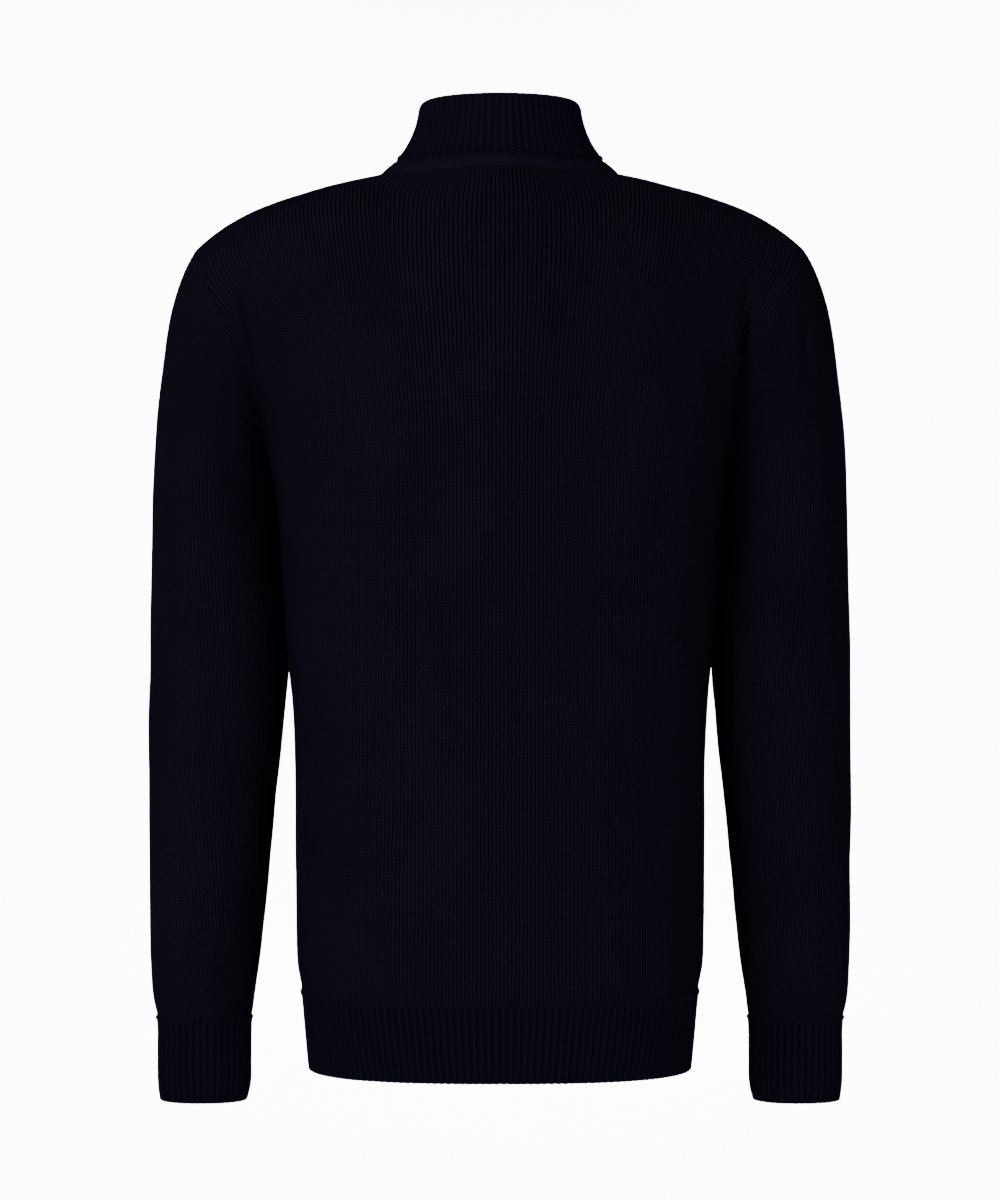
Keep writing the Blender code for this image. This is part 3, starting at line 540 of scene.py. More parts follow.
def sleeve_ring(z, turns):
    """The left sleeve at level z. turns run from its outer side, 0, over the back, 1/4, to 1."""
    inner, outer = read_table(SLEEVE, "inner", z), read_table(SLEEVE, "outer", z)
    middle_y, half_depth = read_table(SLEEVE, "middle_y", z), read_table(SLEEVE, "half_depth", z)
    power = 2 / SLEEVE_SQUARENESS
    c, s = np.cos(2 * math.pi * turns), np.sin(2 * math.pi * turns)
    x = (inner + outer) / 2 + (outer - inner) / 2 * np.sign(c) * np.abs(c) ** power
    y = middle_y + half_depth * np.sign(s) * np.abs(s) ** power
    return np.stack([x, y, np.full_like(x, float(z))], axis=-1)


def sleeve_grid():
    """Base points of the left sleeve, and the armhole's normals for its first ring."""
    up = np.linspace(0, 1, UPPER_ROWS + 1)
    back = armhole_seam(up, 1)
    front = armhole_seam(up, -1)
    loop = [np.concatenate([b[::-1], f[1:-1]]) for b, f in zip(back, front)]
    seam, crossing, seam_normal = loop
    top_share = np.concatenate([up[::-1], up[1:-1]])
    side = np.concatenate([np.ones(len(up)), -np.ones(len(up) - 2)])
    turns = np.arange(len(seam)) / len(seam)
    start = seam + crossing * LINK_GAP / 2
    start[turns == 0.5, 1] = 0
    end = sleeve_ring(SLEEVE_TOP_Z, turns)
    reach = np.linalg.norm(end - start, axis=1, keepdims=True)
    outward = 0.05 + 0.65 * top_share
    lean = np.stack([outward, side * 0.6 * top_share * (1 - top_share), -np.ones_like(turns)], -1)
    below = (sleeve_ring(SLEEVE_TOP_Z - 0.01, turns) - end) / 0.01
    t = (np.arange(SLEEVE_CAP_ROWS) / SLEEVE_CAP_ROWS)[:, None, None]
    cap = hermite(start, end, unit(lean) * reach * 0.72, below * reach * 0.95, t)
    levels = (SLEEVE_TOP_Z,) + SLEEVE_ROWS + (CUFF_SEAM_Z + LINK_GAP / 2,)
    rings = np.array([sleeve_ring(z, turns) for z in levels])
    return np.concatenate([cap, rings]), seam_normal


def neck_polyline():
    """The panels' whole neck edge as one line, from the left front edge round the back."""
    edge = np.array([1.0])
    front = upper_panel(panel_columns(-1)[: NECK_COLUMNS + 1], edge, -1)[0]
    back = upper_panel(panel_columns(1)[: NECK_COLUMNS + 1], edge, 1)[0]
    half = np.concatenate([front, back[-2::-1]])
    return np.concatenate([half, mirrored(half[-2::-1])])


def collar_surface(shares, heights):
    """Base points of the collar. shares run round the neck from the left front edge to the right."""
    seam = neck_polyline()
    run = lengths_along(seam)
    crossing, normal = neck_seam(seam)
    wanted = np.asarray(shares) * run[-1]
    base = at_lengths(seam, run, wanted)
    crossing, normal = (unit(at_lengths(v, run, wanted)) for v in (crossing, normal))
    first = math.acos(FRONT_EDGE_X / COLLAR_HALF_WIDTH)
    turn = np.linspace(-first, math.pi + first, RING_SAMPLES * 2)
    reach = np.where(np.sin(turn) > 0, COLLAR_BACK_Y, -COLLAR_FRONT_Y)
    x, y = COLLAR_HALF_WIDTH * np.cos(turn), reach * np.sin(turn)
    fall = ((1 - np.sin(turn)) / 2) ** 3.3
    z = COLLAR_Z + (COLLAR_FRONT_Z - COLLAR_Z) * fall
    rim = np.stack([x, y, z], axis=-1)
    rim_run = lengths_along(rim)
    top = at_lengths(rim, rim_run, np.asarray(shares) * rim_run[-1])
    base = base + crossing * LINK_GAP / 2
    height = np.linalg.norm(top - base, axis=1, keepdims=True)
    upright = np.column_stack([0.10 * unit(top[:, :2]) * (-1, -1), np.ones(len(top))])
    behind = (np.sin(math.pi * np.asarray(shares)) ** 2)[:, None]
    crossing, upright = crossing * (1 - 0.20 * behind), upright * (1 + 0.35 * behind)
    heights = np.asarray(heights)
    t = (heights if heights.ndim == 2 else heights[:, None])[..., None]
    return hermite(base[None], top[None], (crossing * height)[None], (upright * height)[None], t), normal


# Zip places
def front_grid():
    """Outer points and normals at the left front edge and a little way in, from hem to collar top."""
    near = np.array([0.0, TAPE_SHARE])
    hem = [torso_row(z, near, -1) for z in hem_levels()[:0:-1]]
    body = body_surface(near, panel_heights()[:-1], -1)
    collar = collar_surface(np.array([0.0, TAPE_COLLAR_SHARE]), COLLAR_ROWS)[0]
    points = np.concatenate([hem, body, collar])
    return points, grid_normals(points)


def front_line(wanted):
    """Points midway between the front edges, and outward directions, at lengths from the hem."""
    points, normals = front_grid()
    points, normals = points[:, 0] * (0, 1, 1), unit(normals[:, 0] * (0, 1, 1))
    run = lengths_along(points)
    return at_lengths(points, run, wanted), unit(at_lengths(normals, run, wanted))


def front_length():
    return lengths_along(front_grid()[0][:, 0])[-1]


def slider_end():
    """Where the slider ends along the front line."""
    return front_length() - STOP_INSET - STOP_LENGTH - SEAM_GAP


# Narrow creases that only the shells have: as the folds above, and a ridge has a negative depth
BACK_CREASES = (
    Fold(-0.860, 1.600, -0.880, 1.400, 0.017, 0.0075),
    Fold(-0.870, 1.480, -0.915, 1.270, 0.022, 0.0085),
    Fold(-0.895, 1.340, -0.945, 1.120, 0.026, 0.0085),
    Fold(-0.86, 1.62, -0.93, 1.25, 0.075, -0.0035),
    Fold(-0.780, 1.620, -0.800, 1.300, 0.050, -0.0022),
    Fold(0.906, 1.660, 0.904, 1.420, 0.012, 0.0036),
    Fold(0.904, 1.440, 0.890, 1.250, 0.013, 0.0020),
    Fold(0.865, 1.600, 0.850, 1.200, 0.030, -0.0018),
    Fold(0.88, 1.66, 0.93, 1.25, 0.070, -0.0026),
    Fold(0.26, 0.860, 0.262, 0.560, 0.030, 0.0018),
    Fold(0.262, 0.600, 0.20, 0.060, 0.034, 0.0019),
    Fold(0.52, 0.900, 0.46, 0.100, 0.055, -0.0024),
    Fold(0.40, 0.34, 0.34, 0.02, 0.045, -0.0018),
    Fold(-0.30, 0.50, -0.36, 0.02, 0.050, -0.0018),
    Fold(-0.16, 0.42, -0.20, 0.03, 0.032, 0.0015),
    Fold(0.72, 0.60, 0.66, 0.03, 0.050, 0.0021),
    Fold(-0.70, 0.56, -0.74, 0.03, 0.045, 0.0018),
    Fold(0.06, 0.28, 0.02, 0.02, 0.040, 0.0014),
    Fold(0.97, 0.96, 0.62, 0.78, 0.060, 0.0018),
    Fold(-0.97, 0.94, -0.60, 0.72, 0.060, 0.0021),
    Fold(-0.55, 1.55, -0.20, 1.72, 0.090, -0.0012),
)
FRONT_CREASES = (
    Fold(0.80, 1.52, 0.88, 1.22, 0.030, 0.0020),
    Fold(0.72, 1.66, 0.80, 1.30, 0.045, -0.0022),
    Fold(0.30, 0.34, 0.26, 0.02, 0.045, -0.0011),
    Fold(0.55, 0.40, 0.46, 0.02, 0.045, 0.0012),
    Fold(0.80, 0.30, 0.76, 0.02, 0.040, -0.0011),
    Fold(0.97, 0.95, 0.60, 0.76, 0.060, 0.0017),
    Fold(0.20, 1.70, 0.45, 1.45, 0.080, 0.0009),
)
LEFT_SLEEVE_CREASES = (
    Fold(0.12, 0.93, 0.34, 0.985, 0.020, 0.0017),
    Fold(0.14, 0.88, 0.38, 0.95, 0.022, -0.0013),
    Fold(0.22, 0.80, 0.44, 0.90, 0.030, 0.0013),
    Fold(0.55, 0.93, 0.80, 0.985, 0.022, 0.0015),
    Fold(0.58, 0.56, 0.80, 0.60, 0.030, -0.0016),
    Fold(0.36, 0.30, 0.24, 0.18, 0.035, 0.0016),
    Fold(0.30, 0.42, 0.12, 0.30, 0.050, -0.0010),
    Fold(0.50, 0.08, 0.50, 0.485, 0.070, -0.0040),
)
RIGHT_SLEEVE_CREASES = (
    Fold(0.16, 0.90, 0.36, 0.98, 0.022, 0.0015),
    Fold(0.10, 0.84, 0.30, 0.93, 0.026, -0.0012),
    Fold(0.60, 0.90, 0.84, 0.975, 0.024, 0.0015),
    Fold(0.115, 0.04, 0.175, 0.16, 0.022, 0.0032),
    Fold(0.150, 0.12, 0.190, 0.30, 0.028, 0.0020),
    Fold(0.50, 0.08, 0.50, 0.485, 0.070, -0.0040),
    Fold(0.56, 0.54, 0.82, 0.60, 0.032, -0.0015),
    Fold(0.38, 0.32, 0.26, 0.20, 0.035, 0.0018),
)

# Long waves over all the cloth: lengths across and up, and shift
RIPPLES = (
    (0.110, 0.230, 0.3),
    (0.071, 0.160, 1.9),
    (-0.062, 0.120, 4.1),
    (0.043, 0.300, 2.2),
    (0.034, -0.090, 5.0),
    (-0.150, 0.075, 0.9),
)

# Levels on the sleeve, and how far down it the fold tables count them
SLEEVE_MARKS = (
    (-0.262, 0.375),
    (-0.300, 0.4375),
    (-0.440, 0.625),
    (-0.560, 0.75),
    (-0.635, 0.875),
    (-0.659, 1.0),
)

# The cuts: the greatest width and length of what shows, and its area, in metres
Cut = namedtuple("Cut", "width length area")

# Colours, linear
YARN_LIGHT = (0.0061, 0.0055, 0.0111, 1.0)
# The dark yarn colour is painted shade in the knit's grooves, between its stitch legs and in the purl and
# twill furrows; in the yarn beads and the collar band it gives dark random flecks
YARN_SHADE_AND_DARK_FLECKS = (0.0002, 0.0002, 0.0006, 1.0)
# The rib and collar colours are shaded copies of the plain yarn, painted shade of the ribbing; their dark
# ends are painted shade in the rib grooves
RIB_SHADED_YARN = (0.0031, 0.0028, 0.0055, 1.0)
RIB_GROOVE_SHADE = (0.0014, 0.0012, 0.0032, 1.0)
COLLAR_SHADED_YARN = (0.0034, 0.0030, 0.0060, 1.0)
COLLAR_GROOVE_SHADE = (0.0018, 0.0016, 0.0040, 1.0)
BEAD_COLOUR = (0.0062, 0.0056, 0.0110, 1.0)
BAND_COLOUR = (0.0059, 0.0053, 0.0107, 1.0)
# Painted shade: the colour of the dark beads put in the seam holes and in the fashioning marks' gaps
HOLE_SHADE_COLOUR = (0.0003, 0.0003, 0.0007, 1.0)
TAPE_COLOUR = (0.0045, 0.0045, 0.0085, 1.0)
METAL_COLOUR = (0.020, 0.020, 0.023, 1.0)
WORN_METAL = (0.042, 0.042, 0.045, 1.0)
STAGE_COLOUR = (0.86, 0.86, 0.87, 1.0)

# Noise in the knit: wandering wales, yarn fuzz and heather
DRIFT_SCALE = 60.0
FUZZ_SCALE = 700.0
HEATHER_SCALE = 14.0

# The photograph's camera: 0.78 mm to a pixel at the garment's middle
PIXEL = 0.00078
PHOTO_HEIGHT = 1200
CAMERA_DISTANCE = 2.7
CAMERA_Z = -0.330

# The stage: a floor that curves up into a backdrop
FLOOR_Z = -1.70
STAGE_HALF_WIDTH = 6.0
STAGE_END = 4.5
STAGE_BACK = -3.2
STAGE_RADIUS = 1.2
STAGE_STEPS = 12

# Area lamps, in watts and degrees, and the world's strength
Lamp = namedtuple("Lamp", "name place target size power spread")
MIDDLE = (0.0, 0.0, -0.30)
LAMPS = (
    Lamp("key", (1.9, 2.5, 0.9), MIDDLE, 1.2, 122, 180),
    Lamp("camera_fill", (0.1, 3.4, -0.1), MIDDLE, 1.6, 28, 180),
    Lamp("low_fill", (-1.0, 2.9, -1.2), (0.0, 0.0, -0.4), 1.2, 30, 180),
    Lamp("front_fill", (0.4, -2.6, 1.0), MIDDLE, 1.6, 40, 180),
    Lamp("backdrop_left", (2.6, -1.6, 2.2), (0.8, -4.2, -0.4), 1.6, 450, 80),
    Lamp("backdrop_right", (-2.6, -1.6, 2.2), (-0.8, -4.2, -0.4), 1.6, 450, 80),
)
WORLD_STRENGTH = 1.12


# Materials
class Nodes:
    """Short calls for one material's node tree."""

    def __init__(self, name, roughness, metallic=0.0):
        self.material = bpy.data.materials.new(name)
        self.material.use_nodes = True
        self.tree = self.material.node_tree
        self.shader = self.tree.nodes["Principled BSDF"]
        self.shader.inputs["Roughness"].default_value = roughness
        self.shader.inputs["Metallic"].default_value = metallic

    def add(self, kind, **values):
        node = self.tree.nodes.new("ShaderNode" + kind)
        for key, value in values.items():
            setattr(node, key, value)
        return node

    def feed(self, socket, value):
        if isinstance(value, bpy.types.NodeSocket):
            self.tree.links.new(value, socket)
        else:
            socket.default_value = value

    def math(self, operation, *values):
        node = self.add("Math", operation=operation)
        for socket, value in zip(node.inputs, values):
            self.feed(socket, value)
        return node.outputs[0]

    def cloth_place(self):
        """Where a point lies on the flat cloth, across and up, in metres."""
        place = self.add("UVMap", uv_map="knit")
        split = self.add("SeparateXYZ")
        self.tree.links.new(place.outputs[0], split.inputs[0])
        return split.outputs[0], split.outputs[1]

    def noise(self, scale, detail=2.0):
        place = self.add("TexCoord")
        node = self.add("TexNoise")
        self.tree.links.new(place.outputs["Object"], node.inputs["Vector"])
        node.inputs["Scale"].default_value = scale
        node.inputs["Detail"].default_value = detail
        return node.outputs[0]

    def mix(self, factor, low, high):
        node = self.add("Mix", data_type="RGBA")
        self.feed(node.inputs["Factor"], factor)
        self.feed(node.inputs["A"], low)
        self.feed(node.inputs[7], high)
        return node.outputs[2]

    def colour(self, factor, low, high):
        self.feed(self.shader.inputs["Base Color"], self.mix(factor, low, high))

    def bump(self, height, distance):
        node = self.add("Bump")
        node.inputs["Strength"].default_value = 1.0
        node.inputs["Distance"].default_value = distance
        self.feed(node.inputs["Height"], height)
        self.feed(self.shader.inputs["Normal"], node.outputs[0])


def soften(nodes, specular, sheen):
    """A dry cloth finish: a faint gloss and a little fuzz."""
    nodes.shader.inputs["Specular IOR Level"].default_value = specular
    nodes.shader.inputs["Sheen Weight"].default_value = sheen
    nodes.shader.inputs["Sheen Roughness"].default_value = 0.45
    nodes.shader.inputs["Sheen Tint"].default_value = (0.55, 0.60, 0.85, 1.0)


def stitch_height(nodes, across, up, pitch, course, knit_width):
    """V stitches: two leaning legs in each wale, and a deep groove outside knit_width of it."""
    beside = nodes.math("FRACT", nodes.math("DIVIDE", across, pitch))
    centred = nodes.math("MULTIPLY", nodes.math("ABSOLUTE", nodes.math("SUBTRACT", beside, 0.5)), 2.0)
    place = nodes.math("MINIMUM", nodes.math("DIVIDE", centred, knit_width), 1.0)
    from_leg = nodes.math("SUBTRACT", place, LEG_PLACE)
    inner_side = nodes.math("MULTIPLY", nodes.math("MINIMUM", from_leg, 0.0), LEG_INNER_SLOPE)
    outer_side = nodes.math("MULTIPLY", nodes.math("MAXIMUM", from_leg, 0.0), LEG_OUTER_SLOPE)
    away = nodes.math("ADD", nodes.math("POWER", inner_side, 2.0), nodes.math("POWER", outer_side, 2.0))
    leg = nodes.math("SUBTRACT", 1.0, away)
    lean = nodes.math("MULTIPLY", place, STITCH_SLANT)
    phase = nodes.math("SUBTRACT", nodes.math("DIVIDE", up, course), lean)
    wave = nodes.math("COSINE", nodes.math("MULTIPLY", phase, 2 * math.pi))
    return nodes.math("MULTIPLY", leg, nodes.math("MULTIPLY_ADD", wave, LEG_WAVE, LEG_LEVEL))


def knit_material(name, light, dark, pitch, course, knit_width, depth):
    nodes = Nodes(name, 0.92)
    across, up = nodes.cloth_place()
    drift = nodes.math("MULTIPLY", nodes.math("SUBTRACT", nodes.noise(DRIFT_SCALE), 0.5), 0.0012)
    across = nodes.math("ADD", across, drift)
    height = stitch_height(nodes, across, up, pitch, course, knit_width)
    fuzz = nodes.noise(FUZZ_SCALE)
    heather = nodes.noise(HEATHER_SCALE, 3.0)
    # The colour mixed from the stitch height is painted shade, darker in the grooves and between the legs;
    # the fuzz and heather on top are the yarn's own random speckle
    groove_shade_and_heather = nodes.math("MULTIPLY_ADD", nodes.math("SUBTRACT", fuzz, 0.5), 0.3, height)
    groove_shade_and_heather = nodes.math("MULTIPLY_ADD", nodes.math("SUBTRACT", heather, 0.5), 0.18, groove_shade_and_heather)
    groove_shade_and_heather = nodes.math("MULTIPLY_ADD", groove_shade_and_heather, TONE_GAIN, TONE_LEVEL)
    nodes.colour(groove_shade_and_heather, dark, light)
    nodes.bump(nodes.math("MULTIPLY_ADD", fuzz, 0.02, height), depth)
    soften(nodes, 0.0, 0.0)
    return nodes.material


def purl_material():
    """The inside of the plain knit: rows of small bumps, with painted shade between them in the colour."""
    nodes = Nodes("knit_inside", 0.95)
    across, up = nodes.cloth_place()
    row = nodes.math("COSINE", nodes.math("MULTIPLY", up, 2 * math.pi / COURSE))
    beside = nodes.math("COSINE", nodes.math("MULTIPLY", across, 2 * math.pi / WALE))
    height = nodes.math("MULTIPLY_ADD", beside, 0.15, nodes.math("MULTIPLY_ADD", row, 0.35, 0.5))
    nodes.colour(height, YARN_SHADE_AND_DARK_FLECKS, YARN_LIGHT)
    nodes.bump(height, 0.0004)
    soften(nodes, 0.01, 0.004)
    return nodes.material


def yarn_material(name, colour):
    nodes = Nodes(name, 0.9)
    fuzz = nodes.noise(900.0, 3.0)
    nodes.colour(fuzz, YARN_SHADE_AND_DARK_FLECKS, colour)
    nodes.bump(fuzz, 0.0003)
    soften(nodes, 0.0, 0.0)
    return nodes.material


def tape_material():
    """Woven tape: a fine twill, with painted shade in its furrows."""
    nodes = Nodes("zip_weave", 0.85)
    across, up = nodes.cloth_place()
    twill = nodes.math("ADD", nodes.math("DIVIDE", across, 0.0005), nodes.math("DIVIDE", up, 0.0007))
    ridge = nodes.math("COSINE", nodes.math("MULTIPLY", twill, 2 * math.pi))
    height = nodes.math("MULTIPLY_ADD", ridge, 0.4, 0.5)
    nodes.colour(height, YARN_SHADE_AND_DARK_FLECKS, TAPE_COLOUR)
    nodes.bump(height, 0.0001)
    soften(nodes, 0.03, 0.0)
    return nodes.material


def metal_material():
    """Dark plated zip metal, a little worn."""
    nodes = Nodes("zip_plating", 0.34, 1.0)
    wear = nodes.noise(400.0, 4.0)
    nodes.colour(wear, METAL_COLOUR, WORN_METAL)
    nodes.feed(nodes.shader.inputs["Roughness"], nodes.math("MULTIPLY_ADD", wear, 0.25, 0.22))
    nodes.bump(wear, 0.00003)
    return nodes.material


def stage_material():
    nodes = Nodes("stage", 0.9)
    nodes.shader.inputs["Base Color"].default_value = STAGE_COLOUR
    nodes.shader.inputs["Specular IOR Level"].default_value = 0.0
    return nodes.material


# Meshes
def link_mesh(name, points, faces, materials, face_materials=None, sharp_angle=60):
    mesh = bpy.data.meshes.new(name)
    mesh.from_pydata(np.asarray(points).tolist(), [], faces)
    for material in materials:
        mesh.materials.append(material)
    if face_materials is not None:
        mesh.polygons.foreach_set("material_index", np.asarray(face_materials, np.int32))
    mesh.shade_smooth()
    mesh.set_sharp_from_angle(angle=math.radians(sharp_angle))
    obj = bpy.data.objects.new(name, mesh)
    bpy.context.scene.collection.objects.link(obj)
    return obj


def volume_of(points, faces):
    """Six times the signed volume inside closed faces."""
    corners = [(face[0], face[k], face[k + 1]) for face in faces for k in range(1, len(face) - 1)]
    a, b, c = points[np.array(corners)].transpose(1, 0, 2)
    return (a * np.cross(b, c)).sum()


def set_map(mesh, name, corners):
    layer = mesh.uv_layers.new(name=name)
    layer.data.foreach_set("uv", np.asarray(corners, np.float32).ravel())


def quads_of(rows, columns, closed):
    """The rows and the columns of the corners of a grid's quads."""
    row, column = np.mgrid[0 : rows - 1, 0 : columns - (0 if closed else 1)]
    row, column = row.ravel(), column.ravel()
    rows4 = np.stack([row, row, row + 1, row + 1], axis=1)
    columns4 = np.stack([column, column + 1, column + 1, column], axis=1)
    return rows4, columns4


def run_across(points, start, closed=False):
    """Distance along each row from the column start, over one more column if the rows are closed."""
    if closed:
        points = np.concatenate([points, points[:, :1]], axis=1)
    steps = np.linalg.norm(np.diff(points, axis=1), axis=2)
    run = np.concatenate([np.zeros((len(points), 1)), np.cumsum(steps, axis=1)], axis=1)
    return run - run[:, start : start + 1]


def run_up(points):
    steps = np.linalg.norm(np.diff(points, axis=0), axis=2)
    return np.concatenate([np.zeros((1, points.shape[1])), np.cumsum(steps, axis=0)])


def rim_strip(row_step, count, closed, reverse):
    """Triangles between an outer row and an inner row with one point for every row_step points."""
    faces = []
    inner_count = count // row_step if closed else (count - 1) // row_step + 1
    for k in range(inner_count if closed else inner_count - 1):
        near, far = ("in", k), ("in", k + 1)
        middle = k * row_step + (row_step + 1) // 2
        for m in range(row_step):
            apex = near if 2 * m < row_step else far
            faces.append([("out", k * row_step + m + 1), ("out", k * row_step + m), apex])
        faces.append([("out", middle), near, far])
    return [face[::-1] for face in faces] if reverse else faces


# One side of a shell: points in a row, its first point, its places on the cloth, and its baked strip
Wall = namedtuple("Wall", "count first across up low high")


def add_shell(name, outer, inner, across, up, materials, closed=False, row_materials=None):
    """A thin closed wall between an outer grid and a coarser inner one.

    across and up are the outer grid's places on the flat cloth, kept in the map "knit". The map
    "OFBake" lays the outside, the inside and the rims beside each other.
    """
    rows, columns = outer.shape[:2]
    inner_columns = inner.shape[1]
    step = columns // inner_columns if closed else (columns - 1) // (inner_columns - 1)
    if closed and across.shape[1] == columns:
        across = np.concatenate([across, 2 * across[:, -1:] - across[:, -2:-1]], axis=1)
    if closed and up.shape[1] == columns:
        up = np.concatenate([up, up[:, :1]], axis=1)
    points = np.concatenate([outer.reshape(-1, 3), inner.reshape(-1, 3)])
    walls = {
        "out": Wall(columns, 0, across, up, 0.01, 0.68),
        "in": Wall(inner_columns, rows * columns, across[:, ::step], up[:, ::step], 0.70, 0.95),
    }
    faces, knit, bake, face_materials = [], [], [], []
    for side, wall in walls.items():
        row4, column4 = quads_of(rows, wall.count, closed)
        if side == "in":
            row4, column4 = row4[:, ::-1], column4[:, ::-1]
        faces += (wall.first + row4 * wall.count + column4 % wall.count).tolist()
        places = np.stack([wall.across[row4, column4], wall.up[row4, column4]], axis=-1)
        knit += places.reshape(-1, 2).tolist()
        strip_across = 0.01 + 0.98 * column4 / (wall.across.shape[1] - 1)
        strip_up = wall.low + (wall.high - wall.low) * row4 / (rows - 1)
        bake += np.stack([strip_across, strip_up], axis=-1).reshape(-1, 2).tolist()
        if side == "in":
            face_materials += [len(materials) - 1] * len(row4)
        elif row_materials is None:
            face_materials += [0] * len(row4)
        else:
            face_materials += np.asarray(row_materials)[row4.min(axis=1)].tolist()

    def add_rim_face(corners, strip, at_end):
        """A face between the two walls, at an end of the rows or along a first or last row."""
        ids = []
        for side, row, column in corners:
            wall, inside = walls[side], side == "in"
            number, span = (row, rows) if at_end else (column, wall.across.shape[1] - 1)
            ids.append(wall.first + row * wall.count + column % wall.count)
            knit.append([
                wall.across[row, column] + RIM_SHIFT * (inside and at_end),
                wall.up[row, column] - RIM_SHIFT * (inside and not at_end),
            ])
            bake.append([0.01 + 0.98 * number / span, strip + RIM_STRIP * inside])
        faces.append(ids)
        face_materials.append(0)

    for row, reverse, strip in ((0, False, 0.96), (rows - 1, True, 0.97)):
        for face in rim_strip(step, columns, closed, reverse):
            add_rim_face([(side, row, column) for side, column in face], strip, False)
    if not closed:
        for column, inner_column, strip in ((0, 0, 0.98), (columns - 1, inner_columns - 1, 0.99)):
            for row in range(rows - 1):
                near = [("out", row, column), ("out", row + 1, column)]
                face = near + [("in", row + 1, inner_column), ("in", row, inner_column)]
                add_rim_face(face if column == 0 else face[::-1], strip, True)
    if volume_of(points, faces) < 0:
        ends = np.cumsum([len(face) for face in faces])
        turned_knit, turned_bake = [], []
        for end, face in zip(ends, faces):
            turned_knit += knit[end - len(face) : end][::-1]
            turned_bake += bake[end - len(face) : end][::-1]
        faces, knit, bake = [face[::-1] for face in faces], turned_knit, turned_bake
    obj = link_mesh(name, points, faces, materials, face_materials)
    set_map(obj.data, "knit", knit)
    set_map(obj.data, "OFBake", bake)
    return obj


def on_garment(obj):
    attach(obj, "garment")


def place_shell(obj, node):
    """Puts a shell in a solid's place."""
    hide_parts(node)
    on_garment(obj)


def unturned(points):
    return points


SIDES = (("left", unturned), ("right", mirrored))


def add_pair(kind, node_kind, part, shell, materials, closed=False, seam_normals=None):
    """A left piece and its mirror image on the right, with yarn loops on their first row."""
    outer, inner, across, up = shell
    for side, turned in SIDES:
        name = part + side
        obj = add_shell(kind + name, turned(outer), turned(inner), across, up, materials, closed=closed)
        place_shell(obj, node_kind + name)
        if seam_normals is not None:
            add_seam_loops("seam_loops_" + name, turned(outer)[0], turned(seam_normals))


# Knitted pieces
def ripples(across, up):
    """Small uneven waves that real cloth has all over, in metres."""
    total = np.zeros_like(across)
    for wide, tall, shift in RIPPLES:
        total += np.sin(2 * math.pi * (across / wide + up / tall) + shift)
    return RIPPLE_DEPTH * total / len(RIPPLES)


def panel_across(outer, start):
    """Distance across the flat cloth. Its wales widen upwards, and lean in towards the neck."""
    heights = panel_heights()
    across = run_across(outer, start)
    top = outer[-1, :, 0]
    eased = np.clip((heights[LOWER_ROWS:] - 1.1) / 0.7, 0, 1)[:, None]
    eased = eased**2 * (3 - 2 * eased)
    spread = WALE_SPREAD * top + WALE_SPREAD_CUBED * top**3
    across[LOWER_ROWS:] = across[LOWER_ROWS] * (1 - eased) + spread * eased
    near_neck = np.clip((heights - NECK_BEND_START) / NECK_BEND_LENGTH, 0, 1) ** 1.25
    return across + NECK_LEAN * near_neck[:, None] * np.tanh(top / 0.11)


def add_panel(name, outer, seams, shares, facing, folds, materials, side=1, shift=0.0):
    """A body panel with its waves and folds. A side of -1 turns a left one into a right one."""
    across, up = panel_across(outer, int(np.abs(shares).argmin())), run_up(outer)
    waves = ripples(across * side + shift, up) * seam_fade(shares, 0.08, 0.12)
    outer = outer + facing * grid_normals(outer) * waves[..., None]
    outer, inner = fold_panel(outer, seams, shares, facing, folds)
    inner = inner[:, ::INNER_STEP]
    if side < 0:
        outer, inner, across = mirrored(outer), mirrored(inner), -across
    shell = add_shell("knit_" + name, outer, inner, across, up, materials)
    place_shell(shell, name)


def add_body(materials):
    half, half_seams = half_panel(1)
    shares = panel_columns(1)
    shares = np.concatenate([-shares[:0:-1], shares])
    folds = BACK_FOLDS + BACK_CREASES
    add_panel("back", whole(half), whole(half_seams), shares, -1, folds, materials)
    outer, seams = half_panel(-1)
    shares, folds = panel_columns(-1), FRONT_FOLDS + FRONT_CREASES
    for name, side in (("front_left", 1), ("front_right", -1)):
        add_panel(name, outer, seams, shares, 1, folds, materials, side, FRONT_SHIFT)


def rib_shape(columns):
    """The height of each column of a rib over the groove beside it."""
    phase = np.arange(columns) / RIB_STEPS
    return RIB_RELIEF * (0.5 - 0.5 * np.cos(2 * math.pi * phase)) ** 0.5


def rib_across(columns):
    return (np.arange(columns) / RIB_STEPS) * RIB_PITCH


def edge_rows(length):
    """Shares of the way along a rib piece: close together over its rounded free edge at the end."""
    near = np.array([1.15, 0.8, 0.5, 0.25, 0.08, 0.0]) * EDGE_ROUNDING
    body = np.linspace(0, length - 2 * EDGE_ROUNDING, round(length / ROW_STEP))
    return np.concatenate([body, length - near]) / length


def edge_drop(shares, length):
    """How far the rounded free edge falls back, at each row."""
    left = (1 - shares) * length
    inside = (1 - left / EDGE_ROUNDING).clip(0, 1)
    return EDGE_ROUNDING * (1 - np.sqrt(1 - inside**2))


